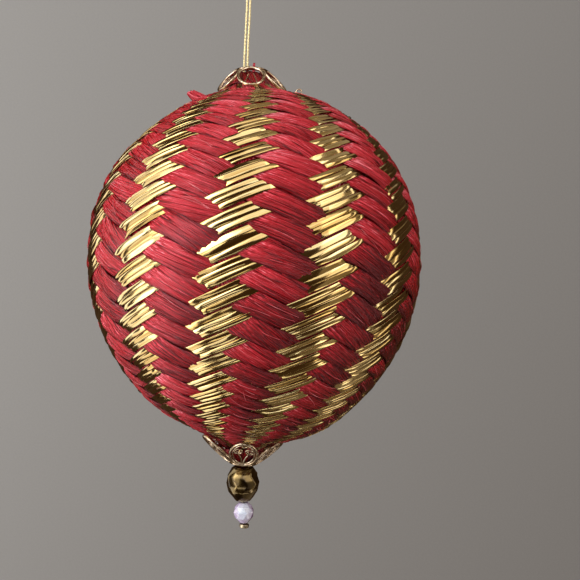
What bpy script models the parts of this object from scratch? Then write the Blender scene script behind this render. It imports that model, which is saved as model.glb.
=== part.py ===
"""A woven straw and gold ribbon Christmas ball with gilt bead caps, a bead drop and a thread loop.

Metres, +Z up. The origin is the top of the hanging loop's inside, where a hook bears, and the ball
hangs below it. Run it in Blender, or with blender --background --python part.py.
"""
import math

import bmesh
import bpy
from mathutils import Matrix, Vector

# Driving dimensions of the ball
BALL_RADIUS = 0.0318  # half of its widest breadth, at the mean of crowns and valleys
BALL_TOP = 0.0332  # the widest level to the top, without the nub of straw ends
BALL_BOTTOM = 0.0355
TOP_FULLNESS = 2.12  # exponent of the upper outline: 2 is an ellipse, and more has fuller shoulders
BOTTOM_FULLNESS = 1.93
BALL_CENTRE_X = 0.0018  # the ball bulges to one side of the axis that its caps share
BALL_CENTRE_Z = -0.0600  # the widest level, below the hanging loop

# The weave: as many strands run down to the right as run up to the right
STRANDS_EACH_WAY = 24
RED_TURN = 2.00  # degrees of longitude that a red strand turns back for each degree that it climbs
GOLD_TURN = 2.35  # degrees of longitude that a gold strand turns for each degree that it climbs
WEAVE_LONGITUDE = -5.0  # of the first gold column at the widest level, in degrees
ROW_PHASE = 0.1  # how far the rows are shifted up, as a share of half a row
ROWS_EACH_WAY = 20  # half rows between the widest level and the last whole gold float
VALLEY_DEPTH = 0.00050  # the valleys between strands, under the ball's mean surface
RED_CROWN = 0.00060  # the crown of a red float, over the mean surface
CLEARANCE = 0.00030  # between pieces that touch
GOLD_EDGE = 0.00020  # thickness of a gold column where two of its floats meet
GOLD_CROWN = 0.00055  # how much higher the middle of a gold float is
TAIL_ROWS = 10  # half rows that a gold column runs on for as a narrowing tail, towards the cap
TAIL_LIFT = 0.00050  # the tip of that tail, over the mean surface

# The nub of gathered straw ends at each pole, and the hole in it
TOP_NUB_HEIGHT = 0.0046
BOTTOM_NUB_HEIGHT = 0.0036
NUB_RADIUS = 0.0075
CORD_HOLE_X = -0.00110  # the thread leaves the nub beside its middle
CORD_HOLE_RADIUS = 0.00090
CORD_HOLE_DEPTH = 0.0020
PIN_HOLE_RADIUS = 0.0010
PIN_HOLE_DEPTH = 0.0060
HOLE_RIM = 0.0004

# The bead caps
PETALS = 6
CAP_WIRE = 0.00028  # radius of the wire
TOP_PETAL_LENGTH = 0.0066
TOP_PETAL_WIDTH = 0.0055
TOP_HUB_RADIUS = 0.0032
TOP_PETAL_SLOPE = 44.0
TOP_CAP_TURN = 3.0
TOP_CAP_TILT = -1.0  # lifts the cap's right side
BOTTOM_PETAL_LENGTH = 0.0082
BOTTOM_PETAL_WIDTH = 0.0058
BOTTOM_HUB_RADIUS = 0.0027
BOTTOM_PETAL_SLOPE = 39.0
BOTTOM_CAP_TURN = 3.0
BOTTOM_CAP_TILT = 5.0  # lifts the cap's left side

# The drop: a pin through two beads
BRONZE_RADIUS = 0.0032
BRONZE_LENGTH = 0.0072
BRONZE_END_RADIUS = 0.0014
PEARL_RADIUS = 0.0020
PEARL_LENGTH = 0.0040
PEARL_END_RADIUS = 0.0009
PIN_RADIUS = 0.00035
PIN_HEAD_RADIUS = 0.00095
PIN_HEAD_THICKNESS = 0.00070
PIN_HEAD_TAPER = 0.8  # the head's lower face, as a share of its upper one
PIN_IN_NUB = 0.0042  # how far the pin runs up past the bronze bead, into the nub's hole
DROP_TILT = 3.0
BEAD_BELT = 0.22  # half the height of a bead's widest belt, as a share of half its length
BEAD_CHAMFER_HEIGHT = 0.59  # where its upper and lower facets meet, as the same share
BEAD_CHAMFER_RADIUS = 0.78  # its radius there, as a share of its widest radius

# The thread, as chosen points along its middle: up one leg, round the loop and down the other
CORD_RADIUS = 0.000225
CORD_POINTS = [
    (-0.00143, 0.00000, -0.02480),
    (-0.00143, 0.00000, -0.02270),
    (-0.00143, 0.00000, -0.02080),
    (-0.00142, 0.00002, -0.01920),
    (-0.00135, -0.00014, -0.01760),
    (-0.00123, -0.00027, -0.01640),
    (-0.00102, -0.00033, -0.01520),
    (-0.00079, -0.00028, -0.01400),
    (-0.00061, -0.00014, -0.01280),
    (-0.00054, 0.00000, -0.01120),
    (-0.00047, 0.00000, -0.00880),
    (-0.00018, 0.00000, -0.00620),
    (0.00048, 0.00000, -0.00380),
    (0.00108, 0.00000, -0.00200),
    (0.00104, 0.00000, -0.00070),
    (0.00052, 0.00000, 0.00004),
    (0.00000, 0.00000, 0.0002250),
    (-0.00056, 0.00000, 0.00002),
    (-0.00118, 0.00000, -0.00078),
    (-0.00132, 0.00000, -0.00210),
    (-0.00124, 0.00000, -0.00390),
    (-0.00112, 0.00000, -0.00620),
    (-0.00114, 0.00000, -0.00880),
    (-0.00119, 0.00000, -0.01120),
    (-0.00121, 0.00014, -0.01280),
    (-0.00111, 0.00028, -0.01400),
    (-0.00102, 0.00033, -0.01520),
    (-0.00087, 0.00027, -0.01640),
    (-0.00079, 0.00014, -0.01760),
    (-0.00077, -0.00002, -0.01920),
    (-0.00077, 0.00000, -0.02080),
    (-0.00077, 0.00000, -0.02270),
    (-0.00077, 0.00000, -0.02480),
]
CORD_STEP = 0.00135

# How finely round pieces are cut
POLE_RINGS = 4
PLEATED_RINGS = 2  # those over which the red pleats between the gold tails fade
PETAL_STEPS = 8
HUB_STEPS = 12
BEAD_SIDES = 8
CURVE_PARTS = 24  # straight parts between two chosen points of the thread, before they are thinned out

CELL = 180.0 / STRANDS_EACH_WAY  # degrees of longitude between neighbouring crossings
HALF_ROW = 2 * CELL / (RED_TURN + GOLD_TURN)  # degrees of climb between neighbouring crossings
CELLS_ROUND = 2 * STRANDS_EACH_WAY


def material(name, colour, roughness, metallic=0.0):
    """Returns a Principled material of one colour."""
    made = bpy.data.materials.new(name)
    made.use_nodes = True
    shader = made.node_tree.nodes["Principled BSDF"]
    shader.inputs["Base Color"].default_value = (*colour, 1.0)
    shader.inputs["Roughness"].default_value = roughness
    shader.inputs["Metallic"].default_value = metallic
    return made


def add_object(name, mesh, finish, collection):
    """Puts a mesh into the scene as a named object with its material."""
    made = bpy.data.objects.new(name, mesh)
    mesh.materials.append(finish)
    collection.objects.link(made)
    return made


def ball_point(longitude, climb, lift):
    """Returns a point of the ball's skin, lift metres over its mean surface.

    climb is the isometric latitude in degrees, in which a strand of even slope is a straight line.
    """
    return skin_point(longitude, latitude_of(climb), lift)


def latitude_of(climb):
    """Returns the latitude in radians of an isometric latitude in degrees."""
    return math.atan(math.sinh(math.radians(climb)))


def half_outline(side):
    """Returns the height and the fullness of the ball's upper or lower half."""
    return (BALL_TOP, TOP_FULLNESS) if side > 0 else (BALL_BOTTOM, BOTTOM_FULLNESS)


def skin_point(longitude, latitude, lift):
    """Returns a point of the ball's skin by its latitude in radians.

    The strands gather at the axis that the caps share, beside the ball's own middle, so towards the
    poles the grid of longitudes is shifted to that axis.
    """
    turn = math.radians(longitude)
    way = Vector((
        math.cos(latitude) * math.sin(turn) - BALL_CENTRE_X / BALL_RADIUS * math.sin(latitude) ** 2,
        -math.cos(latitude) * math.cos(turn),
        math.sin(latitude),
    )).normalized()
    height, fullness = half_outline(way.z)
    flat = math.hypot(way.x, way.y)
    spread = BALL_RADIUS * flat ** (2 / fullness) / max(flat, 1e-9)
    rise = math.copysign(height * abs(way.z) ** (2 / fullness), way.z)
    outward = Vector((way.x / BALL_RADIUS, way.y / BALL_RADIUS, way.z / height)).normalized()
    point = Vector((way.x * spread, way.y * spread, rise)) + outward * lift
    point.x += BALL_CENTRE_X
    point.z += BALL_CENTRE_Z + nub_lift(point.x, point.y, way.z)
    return point


def nub_lift(x, y, side):
    """Returns how far the gathered straw ends raise the skin near a pole."""
    share = max(0.0, 1.0 - math.hypot(x, y) / NUB_RADIUS)
    return share * TOP_NUB_HEIGHT if side > 0 else -share * BOTTOM_NUB_HEIGHT


def skin_height(x, y, side):
    """Returns the height of the skin's upper or lower half at a place near the poles' axis."""
    height, fullness = half_outline(side)
    share = min(1.0, math.hypot(x - BALL_CENTRE_X, y) / BALL_RADIUS)
    rise = height * (1 - share ** fullness) ** (1 / fullness)
    return BALL_CENTRE_Z + side * rise + nub_lift(x, y, side)


def lattice_longitude(column, climb):
    """Returns the longitude of a lattice column, which drifts as it climbs."""
    return CELL * (column - 0.5) + WEAVE_LONGITUDE + climb * (GOLD_TURN - RED_TURN) / 2


def crossing(column, row, lift):
    """Returns the point where lattice lines cross, numbered by cell columns and half rows."""
    climb = (row + ROW_PHASE) * HALF_ROW
    return ball_point(lattice_longitude(column, climb), climb, lift)


def float_faces(column, row, crowns):
    """Returns the lattice corners of one float's triangles, for the float whose middle starts here.

    A float runs over two crossings. Its outline has six corners and its crown has the two crossings.
    A red float runs down to the right from its first crossing, and a gold one runs up to the right.
    """
    up = 1 if crowns == "gold" else -1
    first = (column, row)
    second = (column + 1, row + up)
    if crowns == "gold":
        rim = [(-1, 0), (0, -1), (1, 0), (2, 1), (1, 2), (0, 1)]
        owners = [first, first, second, second, second, first]
        splits = [((1, 0), second, first), ((0, 1), first, second)]
    else:
        rim = [(-1, 0), (0, -1), (1, -2), (2, -1), (1, 0), (0, 1)]
        owners = [first, second, second, second, first, first]
        splits = [((0, -1), second, first), ((1, 0), first, second)]
    corners = [(column + a, row + b) for a, b in rim]
    faces = []
    for index, owner in enumerate(owners):
        faces.append((corners[index], corners[(index + 1) % len(corners)], owner))
    for (a, b), near, far in splits:
        faces.append(((column + a, row + b), near, far))
    return faces


def bed_faces(column, row):
    """Returns the four triangles of the bed under one gold float, which join its six corners."""
    plan = [
        ((-1, 0), (0, -1), (0, 1)),
        ((0, -1), (1, 0), (0, 1)),
        ((1, 0), (1, 2), (0, 1)),
        ((1, 0), (2, 1), (1, 2)),
    ]
    return [[(column + a, row + b) for a, b in face] for face in plan]


class Skin:
    """Collects a surface's triangles by named corners, so that neighbours share their vertices."""

    def __init__(self, name):
        self.name = name
        self.work = bmesh.new()
        self.corners = {}

    def corner(self, key, place):
        """Returns the vertex with this name, made where place() says when it is new."""
        if key not in self.corners:
            self.corners[key] = self.work.verts.new(place())
        return self.corners[key]

    def face(self, corners):
        self.work.faces.new(corners)

    def mesh(self):
        """Returns the finished mesh with its faces pointing out."""
        bmesh.ops.recalc_face_normals(self.work, faces=self.work.faces[:])
        mesh = bpy.data.meshes.new(self.name)
        self.work.to_mesh(mesh)
        self.work.free()
        return mesh


def relief_scale(row):
    """Returns how much of the relief is left at a row, because strands narrow towards the poles."""
    return math.sqrt(math.cos(latitude_of((row + ROW_PHASE) * HALF_ROW)))


def red_corner(skin, column, row):
    """Returns the vertex of the red body at a lattice crossing: a crown or a valley."""
    column = column % CELLS_ROUND
    is_crown = (column + row) % 2 == 0
    lift = RED_CROWN if is_crown else -VALLEY_DEPTH
    return skin.corner((column, row), lambda: crossing(column, row, lift * relief_scale(row)))


def straw_ball():
    """The red body: crowned floats, beds for the gold columns, and a nub with a hole at each pole."""
    skin = Skin("straw_ball")
    for group in range(0, CELLS_ROUND, 4):
        for row in range(-ROWS_EACH_WAY, ROWS_EACH_WAY + 1, 2):
            for face in bed_faces(group, row):
                skin.face([red_corner(skin, *corner) for corner in face])
        for row in range(-ROWS_EACH_WAY, ROWS_EACH_WAY + 3, 2):
            for face in float_faces(group + 2, row, "red"):
                skin.face([red_corner(skin, *corner) for corner in face])
    top = ROWS_EACH_WAY + 1
    close_pole(skin, 1, [top, top + 1, top + 2, top + 1], CORD_HOLE_X, CORD_HOLE_RADIUS, CORD_HOLE_DEPTH)
    close_pole(skin, -1, [-top, 1 - top, -top, -top - 1], 0.0, PIN_HOLE_RADIUS, PIN_HOLE_DEPTH)
    return skin.mesh()


def close_pole(skin, side, edge_rows, hole_x, hole_radius, hole_depth):
    """Carries the skin from the woven rows over the nub and down into the hole in its middle."""
    outer = [red_corner(skin, column, edge_rows[column % 4]) for column in range(CELLS_ROUND)]
    edge_climb = side * (ROWS_EACH_WAY + 3) * HALF_ROW
    edge_latitude = abs(latitude_of(edge_climb))
    mouth_radius = abs(hole_x) + hole_radius + HOLE_RIM
    mouth_latitude = math.acos(mouth_radius / BALL_RADIUS)
    turns = [lattice_longitude(column + 0.5, edge_climb) for column in range(0, CELLS_ROUND, 2)]
    for step in range(1, POLE_RINGS + 1):
        latitude = side * (edge_latitude + (mouth_latitude - edge_latitude) * step / POLE_RINGS)
        height = max(0.0, 1 - (step - 1) / PLEATED_RINGS)
        lifts = (-VALLEY_DEPTH * (1 + height) / 2, RED_CROWN * height - VALLEY_DEPTH * (1 - height) / 2)
        ring = [
            skin.work.verts.new(skin_point(turn, latitude, lifts[index % 2]))
            for index, turn in enumerate(turns)
        ]
        join_rings(skin, outer, ring)
        outer = ring
    mouth_height = sum(vertex.co.z for vertex in outer) / len(outer)
    for depth in (0.0, hole_depth):
        ring = [
            skin.work.verts.new((
                hole_x + hole_radius * math.sin(math.radians(turn)),
                -hole_radius * math.cos(math.radians(turn)),
                mouth_height - side * depth,
            ))
            for turn in turns
        ]
        join_rings(skin, outer, ring)
        outer = ring
    skin.face(outer)


def join_rings(skin, outer, inner):
    """Joins two rings of vertices with triangles; the inner ring has as many, or half as many."""
    ratio = len(outer) // len(inner)
    for index, vertex in enumerate(inner):
        following = inner[(index + 1) % len(inner)]
        run = [outer[(index * ratio + step) % len(outer)] for step in range(ratio + 1)]
        for near, far in zip(run, run[1:]):
            skin.face([near, far, vertex])
        skin.face([run[-1], following, vertex])


def gold_column(number):
    """One gold column: floats that overlap like shingles, on the red body's bed with a clearance."""
    skin = Skin(f"gold_ribbon_{number + 1:02d}")
    group = 4 * number
    last = ROWS_EACH_WAY

    def place(corner, side):
        column, row = corner
        bed = -VALLEY_DEPTH * relief_scale(row) + CLEARANCE
        is_tip = (column - group) in (-1, 2)
        if is_tip:
            return skin.corner((column, row), lambda: crossing(column, row, bed + GOLD_EDGE / 2))
        lift = bed
        if side == "top":
            is_crown = (column - group + row) % 2 == 0
            lift += GOLD_EDGE + (GOLD_CROWN if is_crown else 0.0)
        return skin.corner((column, row, side), lambda: crossing(column, row, lift))

    for row in range(-last, last + 1, 2):
        for face in float_faces(group, row, "gold"):
            skin.face([place(corner, "top") for corner in face])
        for face in bed_faces(group, row):
            skin.face([place(corner, "bed") for corner in face][::-1])
        for tip, notch in ((-1, 0), -1), ((-1, 0), 1), ((2, 1), 0), ((2, 1), 2):
            side_column = 0 if tip[0] == -1 else 1
            corner = (group + side_column, row + notch)
            skin.face([
                place((group + tip[0], row + tip[1]), "top"),
                place(corner, "top"),
                place(corner, "bed"),
            ])
    for side, near, far in (-1, (0, -1), (1, 0)), (1, (0, 1), (1, 2)):
        row = side * last
        tip = skin.work.verts.new(crossing(group + 0.5, row + side * TAIL_ROWS + 0.5, TAIL_LIFT))
        near = (group + near[0], row + near[1])
        far = (group + far[0], row + far[1])
        skin.face([place(near, "top"), place(far, "top"), tip])
        skin.face([place(near, "bed"), place(far, "bed"), tip])
        skin.face([place(near, "top"), place(near, "bed"), tip])
        skin.face([place(far, "top"), place(far, "bed"), tip])
    return skin.mesh()


def turned(name, profile, steps, finish, collection):
    """Turns a closed profile of (radius, height) points round Z, given down its outer side first."""
    mesh = bpy.data.meshes.new(name)
    points = [(radius, 0.0, height) for radius, height in profile]
    edges = [(index, (index + 1) % len(points)) for index in range(len(points))]
    mesh.from_pydata(points, edges, [])
    made = add_object(name, mesh, finish, collection)
    screw = made.modifiers.new("turn", "SCREW")
    screw.steps = steps
    screw.render_steps = steps
    screw.use_merge_vertices = True
    screw.merge_threshold = 0.00001
    screw.use_normal_calculate = False
    return made


def petal_outline(step, length, width):
    """Returns a point of an oval petal's outline: along the petal, then across it."""
    turn = 2 * math.pi * step / PETAL_STEPS
    return length / 2 * math.cos(turn), width / 2 * math.sin(turn)


def wire_ring(name, outline, finish, collection):
    """Returns a closed ring of square wire along an outline in the XY plane, as a mesh object."""
    curve = bpy.data.curves.new(name, "CURVE")
    curve.dimensions = "3D"
    curve.bevel_depth = CAP_WIRE
    curve.bevel_resolution = 0
    spline = curve.splines.new("POLY")
    spline.points.add(len(outline) - 1)
    for point, (x, y) in zip(spline.points, outline):
        point.co = (x, y, 0.0, 1.0)
    spline.use_cyclic_u = True
    drawn = bpy.data.objects.new(name + "_curve", curve)
    collection.objects.link(drawn)
    mesh = bpy.data.meshes.new_from_object(drawn.evaluated_get(bpy.context.evaluated_depsgraph_get()))
    bpy.data.objects.remove(drawn)
    return add_object(name, mesh, finish, collection)


def bead_cap(name, side, hub_radius, length, width, slope, turn, tilt, finish, parts, cutters):
    """A filigree bead cap: a hub ring with oval wire petals that slope away from it.

    The cap is seated on the nub: it is moved along the axis until all its wire clears the straw.
    """
    angles = [2 * math.pi * step / HUB_STEPS for step in range(HUB_STEPS)]
    hub_outline = [(hub_radius * math.cos(angle), hub_radius * math.sin(angle)) for angle in angles]
    outline = [petal_outline(step, length - 2 * CAP_WIRE, width - 2 * CAP_WIRE) for step in range(PETAL_STEPS)]
    lean = Matrix.Rotation(math.radians(tilt), 4, "Y")
    hub_turn = lean @ Matrix.Rotation(math.radians(turn - 90), 4, "Z")
    petal_turns = [
        hub_turn
        @ Matrix.Rotation(2 * math.pi / PETALS * petal, 4, "Z")
        @ Matrix.Translation((hub_radius, 0, 0))
        @ Matrix.Rotation(math.radians(side * slope), 4, "Y")
        @ Matrix.Translation((length / 2 - CAP_WIRE, 0, 0))
        for petal in range(PETALS)
    ]
    wires = [hub_turn @ Vector((*spot, 0)) for spot in hub_outline]
    wires += [place @ Vector((*spot, 0)) for place in petal_turns for spot in outline]
    need = (CAP_WIRE + CLEARANCE) / math.cos(math.radians(slope))
    seat = side * max(side * (skin_height(spot.x, spot.y, side) - spot.z) + need for spot in wires)
    lift = Matrix.Translation((0, 0, seat))

    cap = wire_ring(name, hub_outline, finish, parts)
    cap.matrix_world = lift @ hub_turn
    for number, petal_turn in enumerate(petal_turns, 1):
        ring = wire_ring(f"{name}_petal_{number}", outline, finish, cutters)
        ring.hide_render = True
        ring.display_type = "WIRE"
        ring.matrix_world = lift @ petal_turn
        union = cap.modifiers.new(f"petal {number}", "BOOLEAN")
        union.operation = "UNION"
        union.solver = "EXACT"
        union.object = ring
    return seat


def smooth_route(points, step):
    """Returns points at even steps along a smooth curve through the chosen ones."""
    chosen = [Vector(point) for point in points]
    ends = [2 * chosen[0] - chosen[1]] + chosen + [2 * chosen[-1] - chosen[-2]]
    fine = []
    for a, b, c, d in zip(ends, ends[1:], ends[2:], ends[3:]):
        for part in range(CURVE_PARTS):
            t = part / CURVE_PARTS
            fine.append(0.5 * (
                2 * b + (c - a) * t + (2 * a - 5 * b + 4 * c - d) * t ** 2 + (3 * b - a - 3 * c + d) * t ** 3
            ))
    fine.append(chosen[-1])
    length = sum((far - near).length for near, far in zip(fine, fine[1:]))
    count = max(2, round(length / step))
    route = [fine[0]]
    walked = 0.0
    for near, far in zip(fine, fine[1:]):
        walked += (far - near).length
        while len(route) < count and walked >= length * len(route) / count:
            route.append(far)
    route.append(fine[-1])
    return route


def hanging_cord(finish, collection):
    """The thread: one tube up a leg, round the loop and down the other leg."""
    curve = bpy.data.curves.new("hanging_cord", "CURVE")
    curve.dimensions = "3D"
    curve.bevel_depth = CORD_RADIUS
    curve.bevel_resolution = 2
    curve.use_fill_caps = True
    route = smooth_route(CORD_POINTS, CORD_STEP)
    spline = curve.splines.new("POLY")
    spline.points.add(len(route) - 1)
    for point, place in zip(spline.points, route):
        point.co = (*place, 1.0)
    made = bpy.data.objects.new("hanging_cord", curve)
    curve.materials.append(finish)
    collection.objects.link(made)
    return made


def bead_profile(radius, length, end_radius, bore_radius):
    """Returns a round bead's closed profile, down its outer side and up its bore."""
    half = length / 2
    chamfer = (radius * BEAD_CHAMFER_RADIUS, half * BEAD_CHAMFER_HEIGHT)
    upper = [(end_radius, half), chamfer, (radius, half * BEAD_BELT)]
    lower = [(spot, -height) for spot, height in reversed(upper)]
    return upper + lower + [(bore_radius, -half), (bore_radius, half)]


def build():
    for old in list(bpy.data.objects):
        bpy.data.objects.remove(old, do_unlink=True)
    parts = bpy.data.collections.new("ribbon_christmas_ornament")
    cutters = bpy.data.collections.new("cutters")
    bpy.context.scene.collection.children.link(parts)
    bpy.context.scene.collection.children.link(cutters)

    red = material("red rayon straw", (0.42, 0.03, 0.04), 0.4)
    gold = material("gold foil ribbon", (0.62, 0.44, 0.10), 0.3, 1.0)
    gilt = material("gilt wire", (0.72, 0.55, 0.36), 0.3, 1.0)
    bronze = material("bronze glass", (0.16, 0.12, 0.04), 0.15, 1.0)
    pearl = material("pearly glass", (0.75, 0.73, 0.78), 0.2)
    steel = material("pin steel", (0.45, 0.42, 0.36), 0.3, 1.0)
    thread = material("metallic thread", (0.75, 0.68, 0.42), 0.4, 0.6)

    add_object("straw_ball", straw_ball(), red, parts)
    for number in range(STRANDS_EACH_WAY // 2):
        mesh = gold_column(number)
        add_object(mesh.name, mesh, gold, parts)

    bead_cap("top_cap", 1, TOP_HUB_RADIUS, TOP_PETAL_LENGTH, TOP_PETAL_WIDTH,
             TOP_PETAL_SLOPE, TOP_CAP_TURN, TOP_CAP_TILT, gilt, parts, cutters)
    bottom_seat = bead_cap("bottom_cap", -1, BOTTOM_HUB_RADIUS, BOTTOM_PETAL_LENGTH, BOTTOM_PETAL_WIDTH,
                           BOTTOM_PETAL_SLOPE, BOTTOM_CAP_TURN, BOTTOM_CAP_TILT, gilt, parts, cutters)

    drop = bpy.data.objects.new("drop", None)
    parts.objects.link(drop)
    drop.location = (0, 0, bottom_seat - CAP_WIRE - CLEARANCE)
    drop.rotation_euler = (0, -math.radians(DROP_TILT), 0)
    bore = PIN_RADIUS + CLEARANCE
    bead = turned("bronze_bead", bead_profile(BRONZE_RADIUS, BRONZE_LENGTH, BRONZE_END_RADIUS, bore),
                  BEAD_SIDES, bronze, parts)
    bead.parent = drop
    bead.location = (0, 0, -BRONZE_LENGTH / 2)
    small = turned("pearl_bead", bead_profile(PEARL_RADIUS, PEARL_LENGTH, PEARL_END_RADIUS, bore),
                   BEAD_SIDES, pearl, parts)
    small.parent = drop
    small.location = (0, 0, -BRONZE_LENGTH - CLEARANCE - PEARL_LENGTH / 2)
    pin_under = -BRONZE_LENGTH - PEARL_LENGTH - 2 * CLEARANCE
    pin = turned("head_pin", [
        (0.0, PIN_IN_NUB),
        (PIN_RADIUS, PIN_IN_NUB),
        (PIN_RADIUS, pin_under),
        (PIN_HEAD_RADIUS, pin_under),
        (PIN_HEAD_RADIUS * PIN_HEAD_TAPER, pin_under - PIN_HEAD_THICKNESS),
        (0.0, pin_under - PIN_HEAD_THICKNESS),
    ], BEAD_SIDES, steel, parts)
    pin.parent = drop
    hanging_cord(thread, parts)


build()
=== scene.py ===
# %% [markdown]
# # A woven straw and ribbon Christmas ball
# The real thing is a ball that is covered by a basket weave. Flat bundles of red rayon straw run round it
# one way, bundles of gold foil tape run the other way, and each passes over two and under two. A gilt wire
# cap holds the straw ends together at each pole. A thread carries the ball, and two glass beads hang below.
# The CAD model holds the sizes. This script dresses it: every piece is placed by the CAD's own numbers.

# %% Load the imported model
import math

import bpy
import numpy as np
from mathutils import Matrix, Vector


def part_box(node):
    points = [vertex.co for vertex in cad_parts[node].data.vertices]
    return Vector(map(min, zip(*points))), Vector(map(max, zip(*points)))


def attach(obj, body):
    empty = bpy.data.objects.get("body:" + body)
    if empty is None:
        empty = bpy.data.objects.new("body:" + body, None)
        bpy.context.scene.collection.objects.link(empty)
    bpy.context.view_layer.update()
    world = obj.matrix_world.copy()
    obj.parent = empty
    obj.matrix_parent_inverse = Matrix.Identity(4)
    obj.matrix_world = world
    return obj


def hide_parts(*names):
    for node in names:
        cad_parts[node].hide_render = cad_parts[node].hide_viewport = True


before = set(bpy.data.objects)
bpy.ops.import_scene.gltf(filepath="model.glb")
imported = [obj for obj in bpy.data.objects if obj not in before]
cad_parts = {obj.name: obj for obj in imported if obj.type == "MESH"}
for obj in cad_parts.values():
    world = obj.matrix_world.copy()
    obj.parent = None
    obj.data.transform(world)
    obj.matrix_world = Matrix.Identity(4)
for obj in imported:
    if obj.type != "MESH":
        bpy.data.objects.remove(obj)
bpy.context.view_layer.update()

# %% [markdown]
# ## Sizes that the pieces share
# Blender works in metres here, and the ball is small, so sizes are written in millimetres and turned into
# metres by one factor. The ball's outline and the plan of the weave are the ones that the CAD solids have.
# A strand of even slope on a ball is a straight line on a sailor's chart, so the weave is planned on such a
# chart: columns are degrees of longitude, and rows are the chart's own upright scale.

# %% Sizes of the ball and its weave
MM = 0.001
BALL_RADIUS = 31.8 * MM  # half of its widest breadth
BALL_TOP = 33.2 * MM  # from the widest level to the top, without the nub of straw ends
BALL_BOTTOM = 35.5 * MM
TOP_FULLNESS = 2.12  # exponent of the upper outline: 2 is an ellipse, and more has fuller shoulders
BOTTOM_FULLNESS = 1.93
BALL_CENTRE = Vector((1.8, 0.0, -60.0)) * MM  # the ball bulges to one side of the axis of its caps
NUB_RADIUS = 7.5 * MM
TOP_NUB_HEIGHT = 4.6 * MM
BOTTOM_NUB_HEIGHT = 3.6 * MM

STRANDS_EACH_WAY = 24
CELL = 180.0 / STRANDS_EACH_WAY  # degrees of longitude from one column of crossings to the next
RED_TURN = 2.00  # degrees of longitude that a red strand turns for each degree that it climbs
GOLD_TURN = 2.35
HALF_ROW = 2 * CELL / (RED_TURN + GOLD_TURN)  # degrees of climb from one row of crossings to the next
WEAVE_LONGITUDE = -5.0  # turns the whole plan, in degrees
ROW_PHASE = 0.1  # shifts the whole plan up, in rows
LAST_ROW = 34.0  # rows from the widest level to a strand's end
DRAWN_ROW = 26.0  # from this row on, the rows are drawn out towards the pole
POLE_DRAW = 0.26
print("crossings are", round(math.radians(CELL) * BALL_RADIUS / MM, 2), "mm apart round the widest level")

# %% [markdown]
# ## The camera
# The photo was taken from the front, a little right of the ball's middle and a little below it, with the
# camera turned by about a degree. The distance follows from how much nearer parts look larger: the columns
# of the weave are spread in the middle of the ball and crowd towards its sides. The lens is given by the
# photo's size in pixels, because Blender's own frame has another shape while the script runs.

# %% Camera
PHOTO_SIDE = 580  # pixels
FOCAL_PIXELS = 724  # the lens's distance from the picture, in the photo's pixels
SENSOR = 36.0  # millimetres
NEAREST_SEEN = 0.01  # metres, as is the next
FARTHEST_SEEN = 20
CAMERA_FROM_BALL = Vector((6.885, -144.0, -5.415)) * MM
PHOTO_ROLL = math.radians(1.3)


def add_camera():
    """Adds the photo's camera, which looks along +Y."""
    data = bpy.data.cameras.new("photo_camera")
    data.sensor_width = SENSOR
    data.lens = FOCAL_PIXELS * SENSOR / PHOTO_SIDE
    data.clip_start = NEAREST_SEEN
    data.clip_end = FARTHEST_SEEN
    camera = bpy.data.objects.new("photo_camera", data)
    right = Vector((math.cos(PHOTO_ROLL), 0, math.sin(PHOTO_ROLL)))
    up = Vector((-math.sin(PHOTO_ROLL), 0, math.cos(PHOTO_ROLL)))
    turn = Matrix((right, up, right.cross(up))).transposed().to_4x4()
    camera.matrix_world = Matrix.Translation(BALL_CENTRE + CAMERA_FROM_BALL) @ turn
    bpy.context.collection.objects.link(camera)
    bpy.context.scene.camera = camera
    return camera


camera = add_camera()
print("camera lens in mm:", round(camera.data.lens, 2))

# %% [markdown]
# ## A helper for materials
# A material is a small net of nodes. One function adds a node, sets what it is told to set, and links
# what it is told to link. Colours are written as they look on a screen, in hex, and one function turns
# them into the linear values that Blender computes with.

# %% Material helpers


def linear(colour):
    """Turns an sRGB hex colour into linear red, green, blue and alpha."""
    channels = [int(colour[place:place + 2], 16) / 255 for place in (1, 3, 5)]
    lit = [c / 12.92 if c <= 0.04045 else ((c + 0.055) / 1.055) ** 2.4 for c in channels]
    return (*lit, 1.0)


def node(tree, kind, inputs=None, stops=None, **settings):
    """Adds a node. An input is a value, or a pair of a node and one of its outputs, which is linked."""
    made = tree.nodes.new(kind)
    for name, value in settings.items():
        setattr(made, name, value)
    if stops:
        elements = made.color_ramp.elements
        while len(elements) < len(stops):
            elements.new(0.5)
        for element, (place, colour) in zip(elements, stops):
            element.position = place
            element.color = linear(colour)
    for name, value in (inputs or {}).items():
        if isinstance(value, tuple) and isinstance(value[0], bpy.types.Node):
            tree.links.new(value[0].outputs[value[1]], made.inputs[name])
        else:
            made.inputs[name].default_value = value
    return made


def new_material(name):
    """Returns an empty material and its node tree."""
    made = bpy.data.materials.new(name)
    made.use_nodes = True
    made.node_tree.nodes.clear()
    return made, made.node_tree


def shade(tree, inputs):
    """Ends a material in a Principled shader with these inputs."""
    shader = node(tree, "ShaderNodeBsdfPrincipled", inputs)
    node(tree, "ShaderNodeOutputMaterial", {"Surface": (shader, "BSDF")})
    return shader


print("helpers are ready")

# %% [markdown]
# ## The metallic thread
# The ball hangs on a loop of pale gold sewing thread, two plies twisted together. It rises from the nub of
# straw, its two legs lie side by side, and it closes in a loop just above what the photo shows. A curve
# with a round bevel would be the quick way, but it would look like a smooth pipe. So the thread is laid as
# a tube whose section has two lobes, and the section turns as it goes, which gives the twist.

# %% Thread material
FOIL_BANDS = 1.1  # the wave's scale, which gives a band for each 0.29 mm of thread


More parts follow.
